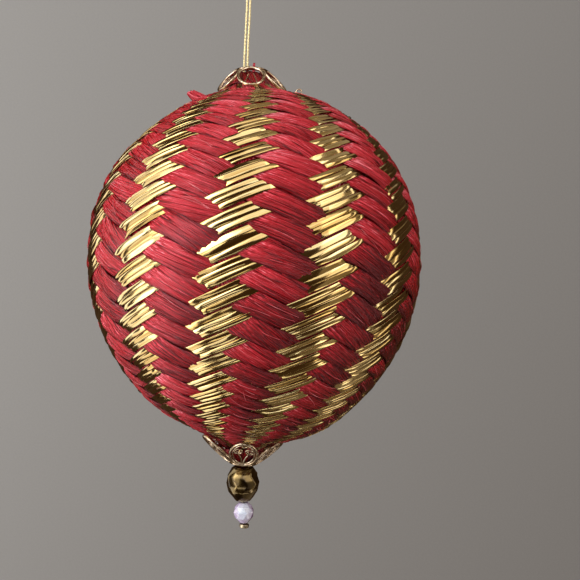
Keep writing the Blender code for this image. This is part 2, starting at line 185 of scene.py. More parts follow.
def metallic_thread():
    """Metallised sewing thread: a soft core wound with foil, so it glitters in fine slanting bands."""
    made, tree = new_material("metallic_thread")
    place = node(tree, "ShaderNodeUVMap", uv_map="strand")
    bands = node(tree, "ShaderNodeTexWave", {
        "Vector": (place, "UV"),
        "Scale": FOIL_BANDS,
        "Distortion": 1.5,
        "Detail": 2.0,
    }, wave_type="BANDS", bands_direction="X")
    colour = node(tree, "ShaderNodeValToRGB", {"Fac": (bands, "Fac")}, stops=[
        (0.0, "#A8925A"), (0.35, "#DCCB8E"), (1.0, "#F6F0C8")])
    bump = node(tree, "ShaderNodeBump", {"Height": (bands, "Fac"), "Strength": 0.5, "Distance": 0.04 * MM})
    shade(tree, {
        "Base Color": (colour, "Color"),
        "Normal": (bump, "Normal"),
        "Metallic": 0.35,
        "Roughness": 0.34,
    })
    return made


thread_finish = metallic_thread()
print("made", thread_finish.name)

# %% Thread route
CORD_POINTS = [
    # metres, up the left leg, round the loop and down the right leg
    (-0.00143, 0.00000, -0.02480),
    (-0.00143, 0.00000, -0.02270),
    (-0.00143, 0.00000, -0.02080),
    (-0.00142, 0.00002, -0.01920),
    (-0.00138, 0.00006, -0.01760),
    (-0.00133, 0.00010, -0.01560),
    (-0.00126, 0.00008, -0.01340),
    (-0.00120, 0.00002, -0.01120),
    (-0.00114, 0.00000, -0.00880),
    (-0.00112, 0.00000, -0.00620),
    (-0.00124, 0.00000, -0.00390),
    (-0.00132, 0.00000, -0.00210),
    (-0.00118, 0.00000, -0.00078),
    (-0.00056, 0.00000, 0.00002),
    (0.00000, 0.00000, 0.0002250),
    (0.00056, 0.00000, 0.00002),
    (0.00112, 0.00000, -0.00074),
    (0.00124, 0.00000, -0.00205),
    (0.00044, 0.00000, -0.00400),
    (-0.00036, 0.00000, -0.00620),
    (-0.00052, 0.00000, -0.00880),
    (-0.00056, -0.00002, -0.01120),
    (-0.00062, -0.00008, -0.01340),
    (-0.00070, -0.00010, -0.01560),
    (-0.00075, -0.00006, -0.01760),
    (-0.00077, -0.00002, -0.01920),
    (-0.00077, 0.00000, -0.02080),
    (-0.00077, 0.00000, -0.02270),
    (-0.00077, 0.00000, -0.02480),
]
CORD_PARTS = 14  # straight parts between two chosen points


def smooth_route(points, parts):
    """Returns many points on a smooth curve through the chosen ones."""
    chosen = [Vector(point) for point in points]
    ends = [2 * chosen[0] - chosen[1]] + chosen + [2 * chosen[-1] - chosen[-2]]
    route = []
    for a, b, c, d in zip(ends, ends[1:], ends[2:], ends[3:]):
        for part in range(parts):
            t = part / parts
            route.append(0.5 * (
                2 * b + (c - a) * t + (2 * a - 5 * b + 4 * c - d) * t ** 2 + (3 * b - a - 3 * c + d) * t ** 3
            ))
    return route + [chosen[-1]]


def route_length(route):
    """Returns the length of a route of points."""
    return sum((far - near).length for near, far in zip(route, route[1:]))


print("thread length in mm:", round(route_length(smooth_route(CORD_POINTS, CORD_PARTS)) / MM, 1))

# %% [markdown]
# ## Sheets that are rolled into strands
# Thread, straw and foil are all long and thin, with a section that changes as it goes. A section swept along
# a curve would stay the same. So each strand starts as a flat grid with a row for every place along it, and
# a rule gives every row its own shape. The grid's long sides are merged and its ends closed, which makes a
# tube, and its UV map tells the finish how far along and across each place is.

# %% Rolled sheets
WELD_DISTANCE = 0.000001  # metres between points that are merged


def seamed(values):
    """Repeats the first column of a grid of values after its last, where the sheet's seam is."""
    return np.concatenate([values, values[:, :1]], axis=1).astype(np.float32)


def rolled_sheet(name, points, uv, finish, marks=None, flip=False):
    """Rolls a flat grid into a closed tube: points has one row of places for each ring along it.

    The sheet's first and last columns meet in a seam, which is merged, and its two ends are closed.
    uv is given for the same rows, in millimetres along and across the strand. marks are numbers for each
    place that the finish reads by name.
    """
    rings, sides = points.shape[:2]
    bpy.ops.object.select_all(action="DESELECT")
    bpy.ops.mesh.primitive_grid_add(x_subdivisions=sides, y_subdivisions=rings - 1, size=1)
    piece = bpy.context.object
    piece.name = name
    piece.data.name = name
    piece.data.vertices.foreach_set("co", seamed(points).ravel())
    corners = np.empty(len(piece.data.loops), dtype=np.int32)
    piece.data.loops.foreach_get("vertex_index", corners)
    layer = piece.data.uv_layers[0]
    layer.name = "strand"
    layer.uv.foreach_set("vector", seamed(uv).reshape(-1, 2)[corners].ravel())
    for mark, values in (marks or {}).items():
        layer = piece.data.attributes.new(mark, "FLOAT", "POINT")
        layer.data.foreach_set("value", seamed(values).ravel())
    bpy.ops.object.mode_set(mode="EDIT")
    bpy.ops.mesh.select_all(action="SELECT")
    bpy.ops.mesh.remove_doubles(threshold=WELD_DISTANCE)
    bpy.ops.mesh.select_all(action="DESELECT")
    bpy.ops.mesh.select_mode(type="EDGE")
    bpy.ops.mesh.select_non_manifold()
    bpy.ops.mesh.edge_face_add()
    if flip:
        bpy.ops.mesh.select_all(action="SELECT")
        bpy.ops.mesh.flip_normals()
    bpy.ops.mesh.select_mode(type="VERT")
    bpy.ops.object.mode_set(mode="OBJECT")
    piece.data.materials.append(finish)
    piece.data.shade_smooth()
    return piece


print("a sheet of 4 by 3 places has", seamed(np.zeros((4, 3))).size, "with its seam")

# %% Thread
CORD_RADIUS = 0.000225  # metres, as are the points of its route
CORD_PLY_WAIST = 0.80  # the section's narrow width, as a share of its broad one
CORD_TWIST = 1.7 * MM  # length of a full turn of the plies
CORD_SIDES = 10


def hang_thread():
    """Lays the twisted thread on its route."""
    route = smooth_route(CORD_POINTS, CORD_PARTS)
    turns = np.linspace(0, 2 * math.pi, CORD_SIDES, endpoint=False)
    rings, places = [], []
    walked = 0.0
    side = Vector((0, 1, 0))
    for index, point in enumerate(route):
        ahead = route[min(index + 1, len(route) - 1)] - route[max(index - 1, 0)]
        ahead.normalize()
        side = (side - ahead * side.dot(ahead)).normalized()
        other = ahead.cross(side)
        if index:
            walked += (point - route[index - 1]).length
        lobes = CORD_RADIUS * (1 - (1 - CORD_PLY_WAIST) * np.sin(turns - math.tau * walked / CORD_TWIST) ** 2)
        rings.append([point + (side * math.cos(t) + other * math.sin(t)) * r for t, r in zip(turns, lobes)])
        places.append([(walked / MM, t) for t in turns])
    thread = rolled_sheet("hanging_thread", np.array(rings), np.array(places), thread_finish)
    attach(thread, "root")
    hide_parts("hanging_cord")
    return thread


thread = hang_thread()
print("thread has", len(thread.data.polygons), "faces")

# %% [markdown]
# ## The stage and the light
# The ornament hangs in front of a plain pale sweep, a sheet of paper that curves from floor to wall, so
# there is no line behind it. Foil and coated glass show whatever stands round them, so one lamp would give
# them one hard spot. Large soft panels stand round the ball like a tent instead: a bright window at the
# upper left, a ceiling, dimmer walls, and narrow strips below. The tent has a gap by the camera, and there
# the foil mirrors the dim warm room. This is why it is pale in one place and almost black in the next.
# The sweep has two lights of its own. The foil doesn't mirror it and it throws no light back, so the
# brightness of the ground can be set without changing the ball.

# %% Stage
FLOOR_LEVEL = -0.52  # metres, as are the rest
WALL_DISTANCE = 0.30
SWEEP_RADIUS = 0.16
SWEEP_PARTS = 16  # flat parts in the bend
STAGE_HALF_WIDTH = 1.3
STAGE_FRONT = -1.2
WALL_TOP = 1.3  # from the bend's upper edge
PULP = 900.0  # noise cells for each metre, coarser than real pulp so that it can show


def add_sweep(finish):
    """Adds the floor and wall as one sheet: a plane whose far edge is spun up and then extruded."""
    bpy.ops.object.select_all(action="DESELECT")
    bpy.ops.mesh.primitive_plane_add(size=2 * STAGE_HALF_WIDTH)
    sweep = bpy.context.object
    sweep.name = "stage_sweep"
    for vertex in sweep.data.vertices:
        vertex.co.y = STAGE_FRONT if vertex.co.y < 0 else WALL_DISTANCE - SWEEP_RADIUS
        vertex.co.z = FLOOR_LEVEL
    bend_middle = (0, WALL_DISTANCE - SWEEP_RADIUS, FLOOR_LEVEL + SWEEP_RADIUS)
    bpy.ops.object.mode_set(mode="EDIT")
    bpy.ops.mesh.select_mode(type="EDGE")
    bpy.ops.mesh.select_all(action="DESELECT")
    bpy.ops.object.mode_set(mode="OBJECT")
    for edge in sweep.data.edges:
        edge.select = all(sweep.data.vertices[index].co.y > 0 for index in edge.vertices)
    bpy.ops.object.mode_set(mode="EDIT")
    bpy.ops.mesh.spin(steps=SWEEP_PARTS, angle=math.pi / 2, center=bend_middle, axis=(-1, 0, 0))
    bpy.ops.mesh.extrude_region_move(TRANSFORM_OT_translate={"value": (0, 0, WALL_TOP)})
    bpy.ops.mesh.select_mode(type="VERT")
    bpy.ops.object.mode_set(mode="OBJECT")
    sweep.data.shade_smooth()
    sweep.data.materials.append(finish)
    sweep.visible_glossy = False
    sweep.visible_diffuse = False
    return sweep


def studio_paper():
    """Matt grey paper, a touch warm, with the faintest mottle of its pulp."""
    made, tree = new_material("studio_paper")
    place = node(tree, "ShaderNodeTexCoord")
    pulp = node(tree, "ShaderNodeTexNoise", {"Vector": (place, "Object"), "Scale": PULP, "Detail": 2.0})
    colour = node(tree, "ShaderNodeValToRGB", {"Fac": (pulp, "Fac")}, stops=[
        (0.2, "#BFBEBB"), (0.8, "#C5C4C1")])
    shade(tree, {"Base Color": (colour, "Color"), "Roughness": 0.9})
    return made


sweep = add_sweep(studio_paper())
lowest = min(vertex.co.z for vertex in sweep.data.vertices)
print("sweep has", len(sweep.data.polygons), "faces, lowest", round(lowest, 3))

# %% Light
ROOM_COLOUR = "#6A5038"
ROOM_STRENGTH = 0.43
LIGHTS = {
    # place and aim in metres from the ball, width, height, brightness, colour, what it lights up
    "window_light": ((-0.67, -0.45, 0.20), (0, 0, 0), 1.10, 1.10, 1.24, "#FFFBF4", "ornament"),
    "sky_light": ((-0.52, -0.46, 0.30), (0, 0, 0), 0.40, 0.50, 2.60, "#FFFBF6", "ornament"),
    "low_window_light": ((-0.60, -0.28, -0.22), (0, 0, 0), 0.40, 0.36, 2.40, "#FFFBF6", "ornament"),
    "back_left_light": ((-0.78, 0.28, 0.10), (0, 0, 0), 0.26, 1.00, 1.60, "#FFFBF4", "ornament"),
    "ceiling_light": ((-0.02, -0.52, 0.54), (0, 0, 0), 1.30, 0.72, 1.35, "#FFF8F0", "ornament"),
    "right_light": ((0.58, -0.42, 0.36), (0, 0, 0), 0.40, 0.70, 1.60, "#FFF6EC", "ornament"),
    "back_right_light": ((0.80, 0.02, 0.10), (0, 0, 0), 0.10, 1.00, 1.80, "#FFF6EC", "ornament"),
    "low_front_card": ((-0.06, -0.30, -0.195), (0, 0, 0), 0.30, 0.05, 1.30, "#FFFBF4", "ornament"),
    "low_left_card": ((-0.34, -0.06, -0.35), (0, 0, 0), 0.38, 0.32, 1.45, "#FFFBF4", "ornament"),
    "low_strip": ((0.04, -0.16, -0.38), (0, 0, 0), 0.34, 0.045, 1.90, "#FFFBF4", "ornament"),
    "low_right_strip": ((0.30, -0.06, -0.28), (0, 0, 0), 0.24, 0.06, 2.40, "#FFF6EC", "ornament"),
    "right_wall": ((0.80, -0.25, 0.0), (0, 0, 0), 0.90, 1.10, 0.28, "#EADCC6", "ornament"),
    "top_wall": ((0.20, 0.05, 0.70), (0, 0, 0), 1.00, 0.80, 0.34, "#EADCC6", "ornament"),
    "under_card": ((0.24, 0.02, -0.44), (0, 0, 0), 0.66, 0.50, 0.15, "#EADCC6", "ornament"),
    "sweep_light": ((-0.30, -0.30, 0.95), (0, 0.20, -0.30), 1.60, 1.20, 1.05, "#FFFFFF", "sweep"),
    "wall_light": ((-0.62, -0.16, -0.10), (-0.05, 0.30, -0.15), 0.60, 1.00, 1.30, "#FFFFFF", "sweep"),
}
WATTS_FOR_BRIGHTNESS = 4  # makes a light of one square metre look as bright as white paper


def add_light(name, place, aim, width, height, brightness, colour, lights_up):
    """Adds a soft rectangular light, which lights the ornament or the sweep alone and isn't seen itself."""
    data = bpy.data.lights.new(name, "AREA")
    data.shape = "RECTANGLE"
    data.size = width
    data.size_y = height
    data.energy = WATTS_FOR_BRIGHTNESS * width * height * brightness
    data.color = linear(colour)[:3]
    light = bpy.data.objects.new(name, data)
    light.location = BALL_CENTRE + Vector(place)
    light.rotation_euler = (Vector(aim) - Vector(place)).to_track_quat("-Z", "Y").to_euler()
    light.visible_camera = False
    bpy.context.collection.objects.link(light)
    links = bpy.data.collections.new(name + "_links")
    links.objects.link(sweep)
    links.collection_objects[0].light_linking.link_state = "INCLUDE" if lights_up == "sweep" else "EXCLUDE"
    light.light_linking.receiver_collection = links
    return light


def light_room():
    """Gives the room beyond the stage a dim warm brown."""
    world = bpy.data.worlds.new("room")
    world.use_nodes = True
    tree = world.node_tree
    tree.nodes.clear()
    dim = node(tree, "ShaderNodeBackground", {"Color": linear(ROOM_COLOUR), "Strength": ROOM_STRENGTH})
    node(tree, "ShaderNodeOutputWorld", {"Surface": (dim, "Background")})
    bpy.context.scene.world = world


for light_name, light_values in LIGHTS.items():
    add_light(light_name, *light_values)
light_room()
bpy.context.scene.view_settings.view_transform = "Standard"
print("lights:", ", ".join(LIGHTS))

# %% [markdown]
# ## Rayon straw
# The red strands are viscose straw: a flat bundle of very fine glossy fibres. Light gives it a silky sheen
# across the fibres, pink on the crests and deep maroon between them. The finish reads the strand's own UV
# map, which is in millimetres along and across, so the fibres follow every bend. Single fibres are about
# 0.05 mm thick, too fine to show, so the streaks are drawn at about 0.2 mm, as the photo shows them. A
# noise that is stretched along the strand gives the streaks. Where a noise crosses its middle value it
# draws thin wandering lines, which serve as the dark seams and as single fibres with a painted glint.

# %% Streaks


def streak_noise(tree, across, run, detail, turn=0.0, distortion=0.0):
    """Adds noise that is drawn out along the strand. Sizes are cells for each millimetre."""
    place = node(tree, "ShaderNodeUVMap", uv_map="strand")
    drawn = node(tree, "ShaderNodeMapping", {
        "Vector": (place, "UV"),
        "Rotation": (0, 0, math.radians(turn)),
        "Scale": (run, across, 1),
    })
    return node(tree, "ShaderNodeTexNoise", {
        "Vector": (drawn, "Vector"),
        "Scale": 1.0,
        "Detail": detail,
        "Roughness": 0.6,
        "Distortion": distortion,
    })


def noise_line(tree, noise, width):
    """Returns a node that is 0 on the thin lines where the noise crosses its middle, and 1 away from them."""
    off = node(tree, "ShaderNodeMath", {0: (noise, "Fac"), 1: 0.5}, operation="SUBTRACT")
    away = node(tree, "ShaderNodeMath", {0: (off, "Value")}, operation="ABSOLUTE")
    return node(tree, "ShaderNodeMapRange", {"Value": (away, "Value"), "From Min": 0.0, "From Max": width})


print("streaks are ready")

# %% Straw material
# cells for each millimetre across a strand and along it
STREAKS = (4.2, 0.13)
FINE_STREAKS = (9.0, 0.26)
SEAMS = (0.95, 0.032)  # the dark seams between bundles of fibres
STRAY_FIBRES = (2.1, 0.075)  # the single fibres with a painted glint
CRUMPLES = (3.8, 0.9)  # the dents where the straw bends over the gold
SEAM_WIDTH = 0.020  # of the noise's own range
STRAY_WIDTH = 0.014
# the dents are real relief in the bump, and the same noise paints their light and shade into the colour
CRUMPLE_DEPTH = 1.6
PAINTED_GLINT = 0.30  # painted highlight: how much paler a single fibre is painted
DARKEST = 1.02  # sum of noise and tone that gives the darkest colour
PALEST = 2.02
FIBRE_RELIEF = 0.20 * MM


def rayon_straw(name, colours, roughness, bump_strength):
    """Silky fibre bundles: streaks along the strand, dark seams between bundles, and single fibres with a
    painted glint.
    """
    made, tree = new_material(name)
    tone = node(tree, "ShaderNodeAttribute", attribute_name="tone")
    broad = streak_noise(tree, *STREAKS, 3.0, distortion=0.15)
    fine = streak_noise(tree, *FINE_STREAKS, 2.0)
    seam = noise_line(tree, streak_noise(tree, *SEAMS, 1.0, turn=2.0), SEAM_WIDTH)
    stray = noise_line(tree, streak_noise(tree, *STRAY_FIBRES, 1.0, turn=-4.0), STRAY_WIDTH)
    plain = node(tree, "ShaderNodeMath", {0: (broad, "Fac"), 1: (fine, "Fac")}, operation="ADD")
    bend = node(tree, "ShaderNodeAttribute", attribute_name="bend")
    dents = streak_noise(tree, *CRUMPLES, 2.0, turn=14.0)
    dented = node(tree, "ShaderNodeMath", {0: (dents, "Fac"), 1: 0.5}, operation="SUBTRACT")
    crumpled = node(tree, "ShaderNodeMath", {0: (dented, "Value"), 1: (bend, "Fac")}, operation="MULTIPLY")
    streaks = node(tree, "ShaderNodeMath", {
        0: (crumpled, "Value"), 1: CRUMPLE_DEPTH, 2: (plain, "Value")}, operation="MULTIPLY_ADD")
    shaded = node(tree, "ShaderNodeMath", {0: (streaks, "Value"), 1: (tone, "Fac")}, operation="ADD")
    level = node(tree, "ShaderNodeMapRange", {
        "Value": (shaded, "Value"), "From Min": DARKEST, "From Max": PALEST, "To Min": 0.0, "To Max": 1.0})
    parted = node(tree, "ShaderNodeMath", {0: (level, "Result"), 1: (seam, "Result")}, operation="MULTIPLY")
    # painted glint: the single fibres' thin lines are painted paler
    painted_glint = node(tree, "ShaderNodeMapRange", {
        "Value": (stray, "Result"), "From Min": 0.0, "From Max": 1.0, "To Min": PAINTED_GLINT, "To Max": 0.0})
    lit = node(tree, "ShaderNodeMath", {
        0: (parted, "Value"), 1: (painted_glint, "Result")}, operation="ADD", use_clamp=True)
    colour = node(tree, "ShaderNodeValToRGB", {"Fac": (lit, "Value")}, stops=colours)
    relief = node(tree, "ShaderNodeMath", {0: (streaks, "Value"), 1: (seam, "Result")}, operation="ADD")
    raised = node(tree, "ShaderNodeMath", {0: (relief, "Value"), 1: (painted_glint, "Result")}, operation="ADD")
    bump = node(tree, "ShaderNodeBump", {
        "Height": (raised, "Value"), "Strength": bump_strength, "Distance": FIBRE_RELIEF})
    along = node(tree, "ShaderNodeTangent", direction_type="UV_MAP", uv_map="strand")
    shade(tree, {
        "Base Color": (colour, "Color"),
        "Normal": (bump, "Normal"),
        "Tangent": (along, "Tangent"),
        "Roughness": roughness,
        "Anisotropic": 0.55,
        "Anisotropic Rotation": 0.25,
        "IOR": 1.54,
        "Specular IOR Level": 0.72,
        "Specular Tint": linear("#FFA0B0"),
    })
    return made


STRAW_COLOURS = [(0.0, "#480306"), (0.30, "#8E0C14"), (0.50, "#B41C28"), (0.70, "#D23E4E"), (1.0, "#F596A6")]
# painted shade: the bed under the strands gets deeper colours than the strands
SHADED_COLOURS = [(0.0, "#2C060A"), (0.5, "#5E121A"), (1.0, "#7E1C26")]
straw_finish = rayon_straw("red_rayon_straw", STRAW_COLOURS, roughness=0.18, bump_strength=0.85)
bed_finish = rayon_straw("shaded_rayon_straw", SHADED_COLOURS, roughness=0.6, bump_strength=0.5)
print("made", straw_finish.name, "and", bed_finish.name)

# %% [markdown]
# ## Gold foil tape
# The gold strands are narrow tapes of metallised film, mirror bright but never quite flat. Most of what
# the eye sees is what they mirror, so the finish is a plain gold metal of low roughness. Its fine creases
# run along the tape and are drawn by the bump, and the larger ones are in the mesh.

# %% Foil material
CREASES = (0.10, 2.4)  # noise cells for each millimetre along the tape and across it
CREASE_RELIEF = 0.10 * MM


def gold_foil():
    """Metallised gold film with creases along the tape and a slight change of tint."""
    made, tree = new_material("gold_foil_tape")
    place = node(tree, "ShaderNodeUVMap", uv_map="strand")
    tone = node(tree, "ShaderNodeAttribute", attribute_name="tone")
    crease_place = node(tree, "ShaderNodeMapping", {"Vector": (place, "UV"), "Scale": (*CREASES, 1)})
    creases = node(tree, "ShaderNodeTexNoise", {
        "Vector": (crease_place, "Vector"), "Scale": 1.0, "Detail": 2.0, "Roughness": 0.5})
    shaded = node(tree, "ShaderNodeMath", {0: (creases, "Fac"), 1: (tone, "Fac")}, operation="ADD")
    colour = node(tree, "ShaderNodeValToRGB", {"Fac": (shaded, "Value")}, stops=[
        (0.35, "#B4955A"), (0.6, "#C9B380"), (0.9, "#D8C99E")])
    bump = node(tree, "ShaderNodeBump", {
        "Height": (creases, "Fac"), "Strength": 0.20, "Distance": CREASE_RELIEF})
    shade(tree, {
        "Base Color": (colour, "Color"),
        "Normal": (bump, "Normal"),
        "Metallic": 1.0,
        "Roughness": 0.12,
    })
    return made


foil_finish = gold_foil()
print("made", foil_finish.name)

# %% [markdown]
# ## The skin of the ball
# Every strand lies on the same skin. This function gives a point of the skin for a longitude and a climb,
# and raises it by a lift. It works on whole arrays at once, because the strands have many thousands of
# points. The skin is a ball that is a little fuller above than below, and near each pole the gathered
# straw ends lift it into a nub. The real ball was pulled tight by hand, which left flat places and one
# bulge in its outline, so the skin stands in or out a little at four places.

# %% Skin
UNEVEN = (
    # way from the ball's middle, millimetres that the skin stands in there, width in degrees
    ((-0.62, -0.1, 0.78), 1.25, 17),
    ((0.60, -0.1, 0.80), 0.40, 24),
    ((-0.40, -0.1, -0.91), 0.55, 8),
    ((0.42, -0.1, -0.91), -0.65, 9),
)


def sunken(way):
    """Returns how far the hand-woven skin stands in from an even one."""
    depth = np.zeros(way.shape[:-1])
    for place, most, width in UNEVEN:
        place = np.array(place) / np.linalg.norm(place)
        apart = np.degrees(np.arccos(np.clip(way @ place, -1, 1)))
        depth += most * MM * np.exp(-0.5 * (apart / width) ** 2)
    return depth


def skin(longitude, climb, lift):
    """Returns points of the ball's skin, lift metres over it. Angles are in degrees."""
    latitude = np.arctan(np.sinh(np.radians(climb)))
    turn = np.radians(longitude)
    way = np.stack([
        np.cos(latitude) * np.sin(turn) - BALL_CENTRE.x / BALL_RADIUS * np.sin(latitude) ** 2,
        -np.cos(latitude) * np.cos(turn),
        np.sin(latitude),
    ], axis=-1)
    way /= np.linalg.norm(way, axis=-1, keepdims=True)
    lift = lift - sunken(way)
    above = way[..., 2] > 0
    height = np.where(above, BALL_TOP, BALL_BOTTOM)
    fullness = np.where(above, TOP_FULLNESS, BOTTOM_FULLNESS)
    flat = np.maximum(np.hypot(way[..., 0], way[..., 1]), 1e-9)
    spread = BALL_RADIUS * flat ** (2 / fullness) / flat
    rise = np.copysign(height * np.abs(way[..., 2]) ** (2 / fullness), way[..., 2])
    outward = way / np.stack([np.full_like(height, BALL_RADIUS)] * 2 + [height], axis=-1)
    outward /= np.linalg.norm(outward, axis=-1, keepdims=True)
    point = np.stack([way[..., 0] * spread, way[..., 1] * spread, rise], axis=-1) + outward * lift[..., None]
    point += np.array(BALL_CENTRE)
    share = np.maximum(0.0, 1 - np.hypot(point[..., 0], point[..., 1]) / NUB_RADIUS)
    point[..., 2] += share * np.where(above, TOP_NUB_HEIGHT, -BOTTOM_NUB_HEIGHT)
    return point


print("skin at the widest level:", np.round(skin(np.array(0.0), np.array(0.0), np.array(0.0)) / MM, 1))

# %% [markdown]
# ## The plan of the weave
# On the plan a strand is a straight line, and a place on it is told by how far along and across it is.
# Three helpers make it lively. One goes up over two strands and down under the next two, with flats in
# between. One gives each float, the part that shows, a value of its own. One is a slow random wave, which
# keeps long lines from looking ruled.

# %% Plan of the weave


def weave_place(column, row):
    """Returns the longitude and climb of a place on the weave's plan. Rows are drawn out near the poles."""
    reach = np.abs(row + ROW_PHASE)
    drawn = reach + POLE_DRAW * np.maximum(0, reach - DRAWN_ROW) ** 2
    climb = HALF_ROW * np.copysign(drawn, row + ROW_PHASE)
    drift = HALF_ROW * (row + ROW_PHASE) * (GOLD_TURN - RED_TURN) / 2
    return CELL * (column - 0.5) + WEAVE_LONGITUDE + drift, climb


def strand_places(rise, number, along, across, lift):
    """Returns the points of a strand. rise is 1 for gold, which climbs to the right, and -1 for red.

    along and across are in half strand spacings, and lift is in metres at the widest level.
    """
    column = (along + number + across) / 2
    row = rise * (along - number - across) / 2
    longitude, climb = weave_place(column, row)
    relief = np.sqrt(1 / np.cosh(np.radians(climb)))
    return skin(longitude, climb, lift * relief)


def step_wave(phase, haste):
    """Goes smoothly between 1 on top and -1 below. More haste gives longer flats and quicker changes."""
    return np.tanh(haste * np.cos(phase)) / np.tanh(haste)


def per_float(values, position, hold=0.30):
    """Spreads one value for each float along the strand. It is kept for hold repeats to each side."""
    knots = np.arange(len(values))[:, None] + np.array([-hold, hold])
    return np.interp(position, knots.ravel(), np.repeat(values, 2))


WANDER_SUM = 1.5  # what the parts of a random wave seldom add up to more than


def wander(rng, along, amount, longest, parts=4):
    """Returns a smooth random wave along the strand, mostly between -amount and amount."""
    total = np.zeros_like(along, dtype=float)
    for part in range(parts):
        total += np.sin(along * math.tau * (part + 1) / longest + rng.uniform(0, math.tau)) / (part + 1)
    return amount * total / WANDER_SUM


print("the plan's middle is at longitude and climb:", np.round(weave_place(0.0, 0.0), 2))

# %% [markdown]
# ## The bed under the strands
# Between the strands one can look into the weave. What shows there is more straw, with its deep shade painted
# into darker colours. It is one closed skin under the strands. It starts as a globe, whose points are put on
# the ball's skin, a little below the strands. At the poles it dips, which leaves room for the thread and for
# the pin.

# %% Straw bed
BED_COLUMNS = 96  # the globe's faces round the ball, and from pole to pole
BED_ROWS = 64
BED_DEPTH = 0.95 * MM
DIP_DEPTH = 3.2 * MM
DIP_WIDTH = 2.6 * MM
NEARLY_POLE = 0.99995  # the poles themselves would be infinitely high on the sailor's chart
BED_MAP = 150  # millimetres that the globe's own map is stretched to, for the streaks


def straw_bed():
    """Makes the shaded skin below the strands."""
    bpy.ops.object.select_all(action="DESELECT")
    bpy.ops.mesh.primitive_uv_sphere_add(segments=BED_COLUMNS, ring_count=BED_ROWS, radius=1)
    bed = bpy.context.object
    bed.name = "straw_bed"
    count = len(bed.data.vertices)
    places = np.empty(count * 3, dtype=np.float32)
    bed.data.vertices.foreach_get("co", places)
    places = places.reshape(-1, 3).astype(float)
    longitude = np.degrees(np.arctan2(places[:, 0], -places[:, 1]))
    climb = np.degrees(np.arctanh(np.clip(places[:, 2], -NEARLY_POLE, NEARLY_POLE)))
    moved = skin(longitude, climb, np.full(count, -BED_DEPTH))
    axis_distance = np.hypot(moved[:, 0], moved[:, 1])
    moved[:, 2] -= np.sign(places[:, 2]) * DIP_DEPTH * np.exp(-(axis_distance / DIP_WIDTH) ** 2)
    bed.data.vertices.foreach_set("co", moved.astype(np.float32).ravel())
    bed.data.uv_layers[0].name = "strand"
    spread = np.empty(len(bed.data.loops) * 2, dtype=np.float32)
    bed.data.uv_layers[0].uv.foreach_get("vector", spread)
    bed.data.uv_layers[0].uv.foreach_set("vector", spread * BED_MAP)
    bed.data.materials.append(bed_finish)
    bed.data.shade_smooth()
    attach(bed, "root")
    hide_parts("straw_ball")
    return bed


bed = straw_bed()
print("bed has", len(bed.data.polygons), "faces")

# %% [markdown]
# ## The red strands
# A red strand goes over two gold ones and under two, from the top cap to the bottom cap. It could be drawn
# by hand only with endless patience, because each of its many bends has a place of its own. So it starts
# as a flat grid, like a sheet of paper, and a rule puts each point in its place: along the strand, round
# its flat section, up where it rides over and down where it dives. Where a strand is on top its edges
# bulge over the ends of the gold, as the soft fibres really do. Low ridges in the section are its fibres.

# %% Sizes of a red strand
RED_MEAN = 0.30 * MM  # over the skin, between riding over and diving under
RED_WAVE = 0.28 * MM
RED_HASTE = 1.6
RED_THICKNESS = 0.52 * MM
RED_EDGE_DROP = 0.21 * MM
RED_EDGE_POWER = 3.6  # how late the flat section falls off towards its edges
RED_HALF_WIDTH = 1.02  # in half spacings
RED_BULGE = 0.32
RED_STRAY = 0.03
RED_UNEVEN = 0.05 * MM  # how much floats differ in height and in lean
RED_SPREAD_FROM = 0.75  # columns from a float's middle to where one of its edges spreads most
RED_SPREAD_RUN = 0.60
RED_RIDGE = 0.085 * MM
RIDGE_CYCLES = (2.3, 3.7, 5.2, 6.9)  # half waves from a strand's middle to its edge
RIDGE_DRIFT = 0.9
RIDGE_RUN = 23.0  # half spacings along which the ridges drift and come back
FIBRE_SLANT = 0.10  # how far the fibres of a float run aslant, for each millimetre along
RED_OVER = 2.5  # the column where a red float's middle is
RED_TOP_POINTS = 17
RED_UNDER_POINTS = 5
RED_MM = (2.14, 1.86)  # millimetres for each half spacing along and across, at the widest level
RED_STEPS = (0.0, 0.2, 0.4, 0.6, 0.8, 1.0, 1.2, 1.4, 1.6, 1.8, 2.0, 2.25, 2.6, 3.0, 3.4, 3.75)
RED_MAP_STEP = (173.0, 31.0)  # millimetres that each strand's map is shifted, so that no two look alike
RED_SEED = 100
COLUMNS_IN_REPEAT = 4
print("a red strand is", round(2 * RED_HALF_WIDTH * RED_MM[1], 2), "mm wide at the widest level")

# %% Shape of a red strand


def ring_places(number, first, steps):
    """Returns where a strand's rings are, denser on its floats than where it is hidden."""
    reach = LAST_ROW
    first_repeat = math.floor((-reach - first) / COLUMNS_IN_REPEAT) - 1
    starts = np.arange(first_repeat, 2 + reach / 2) * COLUMNS_IN_REPEAT
    columns = (starts[:, None] + first + np.array(steps)[None, :]).ravel()
    columns = columns[(columns > number - reach) & (columns < number + reach)]
    columns = np.concatenate([[number - reach], columns, [number + reach]])
    return 2 * columns - number


def float_count(middle, over):
    """Returns each ring's place counted in floats from the strand's end, and how many floats there are."""
    position = (middle - over) / COLUMNS_IN_REPEAT
    position = position - math.floor(position.min())
    return position, int(position.max()) + 2


def red_edges(rng, middle, position, floats):
    """Returns how far a red strand's upper and lower edges are from its middle line."""
    place = middle % COLUMNS_IN_REPEAT
    bulge_up = np.exp(-((place - RED_OVER - RED_SPREAD_FROM) / RED_SPREAD_RUN) ** 2)
    bulge_down = np.exp(-((place - RED_OVER + RED_SPREAD_FROM) / RED_SPREAD_RUN) ** 2)
    stray = per_float(rng.normal(0, RED_STRAY, floats), position)
    return RED_HALF_WIDTH + RED_BULGE * bulge_up + stray, RED_HALF_WIDTH + RED_BULGE * bulge_down - stray


